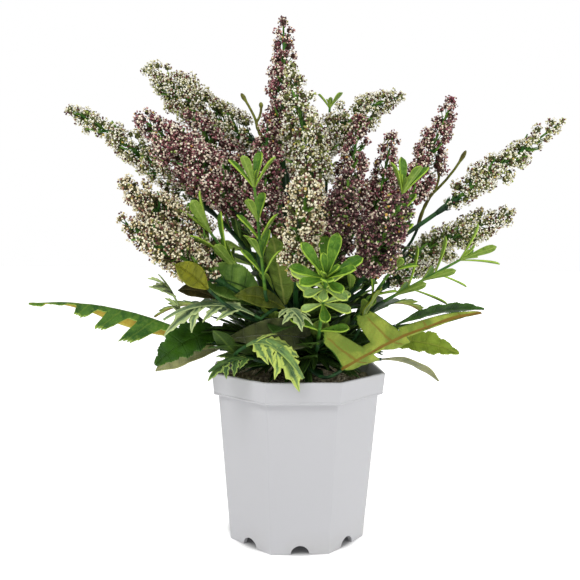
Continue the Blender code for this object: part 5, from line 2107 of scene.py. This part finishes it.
        return [
            LeafBlade("lobed_leaf_far_left", (-66, -10, 130), (-176, -4, 149), 20, 8, 8, *folded, cup=-1.1,
                      plain_far_share=0.50),
            LeafBlade("lobed_leaf_front_left", (-45, -26, 134), (-83, -54, 118), 14, 6, -42, *toothed),
            LeafBlade("lobed_leaf_front_right", (26, -48, 115), (114, -26, 148), 32, 5, -78, *broad,
                      lower_share=0.42),
            LeafBlade("lobed_leaf_right_fold", (62, -20, 139), (117, -22, 150), 8, 4, -34, *plain,
                      has_solid=False),
            LeafBlade("lobed_leaf_right", (54, 4, 125), (108, 2, 118), 11, 4, 50, *golden),
            LeafBlade("lobed_leaf_back_left", (-34, 36, 128), (-112, 86, 132), 18, 14, 0, *lobed),
            LeafBlade("lobed_leaf_back_right", (36, 36, 128), (104, 94, 136), 18, 14, 0, *lobed),
            CutLeaf("cut_leaf_left", (-26, -46, 147), (-82, -53, 142), 14, 9, -22, *cut, stem_bow=(0, 4, 16)),
            CutLeaf("cut_leaf_far_left", (-72, -22, 143), (-88, -26, 171), 14, 3, 0, *cut),
            CutLeaf("cut_leaf_front", (-30, -55, 130), (5, -65, 109), 14, 11, 30, *bright),
            CutLeaf("cut_leaf_front_inner", (-9, -39, 148), (3, -65, 144), 10, 5, 0, *cut),
            CutLeaf("cut_leaf_low_left", (-26, -48, 121), (-53, -61, 114), 10, 4, -20, *deep),
            CutLeaf("cut_leaf_back", (8, 48, 138), (20, 102, 140), 16, 13, 0, *cut),
            LeafBlade("felted_leaf_low_left", (-50, -15, 122), (-89, -24, 109), 10, 4, -36, *pale),
            LeafBlade("felted_leaf_front", (8, -34, 132), (-44, -46, 132), 10, 3, -68, *blunt),
            LeafBlade("felted_leaf_low_right", (54, -18, 117), (91, -16, 103), 8, 4, -16, *pale),
            LeafBlade("felted_leaf_back", (-8, 50, 124), (-20, 94, 114), 11, 6, 0, *felted),
            LeafBlade("ovate_leaf_left", (-24, -3, 150), (-74, -6, 172), 16, 4, -66, *ovate),
            LeafBlade("ovate_leaf_centre", (-8, -27, 152), (-16, -35, 194), 14, 2, 0, *olive),
            LeafBlade("veined_leaf_left", (-22, -30, 157), (-60, -38, 169), 13, 3, -66, *veined,
                      has_solid=False),
            LeafBlade("dusky_leaf_left", (-8, -34, 150), (-38, -42, 158), 7, 3, -60, *dusky,
                      has_solid=False),
            LeafBlade("amber_leaf_left", (-52, -58, 163), (-70, -63, 177), 7.5, 1, -70, *amber,
                      has_solid=False),
            LeafBlade("brown_leaf_left", (-50, -38, 156), (-72, -42, 161), 5, 2, -50, *brown,
                      has_solid=False),
            LeafBlade("ovate_leaf_right", (42, -3, 138), (55, -4, 163), 10, 2, 0, *olive),
            LeafBlade("olive_leaf_right", (38, -30, 138), (51, -32, 163), 11, 2, 0, *olive, has_solid=False),
            LeafBlade("ovate_leaf_back_left", (-24, 34, 144), (-58, 60, 162), 12, 4, 20, *ovate),
            LeafBlade("ovate_leaf_back_right", (26, 32, 144), (60, 56, 162), 12, 4, -20, *ovate),
        ]

    def twigs(self) -> list[BudTwig]:
        """The bare twigs."""
        return [
            BudTwig("twig_right", (83, 24, 202), (93, 26, 226), ((116, 27, 256), (97, 24, 243))),
            BudTwig("twig_left", (-24, 36, 262), (-30, 37, 276), ((-41, 38, 296), (-27, 38, 290))),
        ]

    def undergrowth(self, stems: StemBundle) -> list[Undergrowth]:
        """The small leaves in the heart of the arrangement.

        Args:
            stems: The stems that the leaves grow from.

        Returns:
            The pieces, one for each kind of leaf.
        """
        paths = [path for path, _ in stems.paths()]
        lance = (Finish.LANCE_TOP, Finish.LANCE_UNDER)
        ovate = (Finish.OVATE_TOP, Finish.OVATE_UNDER)
        spoon = (Finish.SPOON_TOP, Finish.SPOON_UNDER)
        return [
            Undergrowth("heart_lance_leaves", SmallLeaves.LANCE, lance, "ovate_leaf", 150, (24, 36), 0.32,
                        (116, 205), 62, (0.3, 1.6), paths),
            Undergrowth("heart_broad_leaves", SmallLeaves.BROAD, lance, "ovate_leaf", 84, (28, 44), 0.48,
                        (112, 180), 42, (0.1, 1.3), paths),
            Undergrowth("heart_veined_leaves", SmallLeaves.BROAD, ovate, "ovate_leaf", 26, (24, 34), 0.46,
                        (118, 190), 50, (0.2, 1.4), paths),
            Undergrowth("heart_spoon_leaves", SmallLeaves.SPOON, spoon, "spoon_leaf", 50, (14, 22), 0.34,
                        (130, 215), 70, (0.3, 1.5), paths),
            Undergrowth("upright_leaves", SmallLeaves.LANCE, ovate, "spoon_leaf", 60, (22, 36), 0.24,
                        (164, 228), 80, (1.4, 3.4), paths),
            Undergrowth("soil_leaves", SmallLeaves.LANCE, lance, "stem", 44, (20, 30), 0.26,
                        (104, 124), 26, (-0.5, -0.1), paths),
            Undergrowth("foot_strap_leaves", SmallLeaves.LANCE, lance, "stem", 120, (26, 44), 0.26,
                        (104, 134), 34, (-0.1, 0.8), paths),
        ]

    def stems(self) -> StemBundle:
        """The stems, one to each foot.

        Returns:
            The bundle of stems.
        """
        kinds = ((self.spikes(), self.SPIKE_STEM_MM), (self.sprigs(), self.SPRIG_STEM_MM),
                 (self.leaves(), self.LEAF_STEM_MM), (self.twigs(), self.LEAF_STEM_MM))
        return StemBundle([(piece.line.at(0.0), piece.line.heading(0.0), piece.stem_bow, radius)
                           for pieces, radius in kinds for piece in pieces])

    def build(self, palette: Palette) -> None:
        """Make every piece.

        Args:
            palette: The materials.
        """
        pot = OctagonPot()
        stems = self.stems()
        makers = [pot, PottingMix(pot), stems, *self.undergrowth(stems), *self.spikes(), *self.sprigs(),
                  *self.leaves(), *self.twigs()]
        for maker in makers:
            maker.build(palette)


def main() -> None:
    """Dress the arrangement and set the stage."""
    logging.basicConfig(level=logging.INFO, format="%(message)s")
    palette = Palette()
    Arrangement().build(palette)
    Studio().build(palette)


if __name__ == "__main__":
    main()
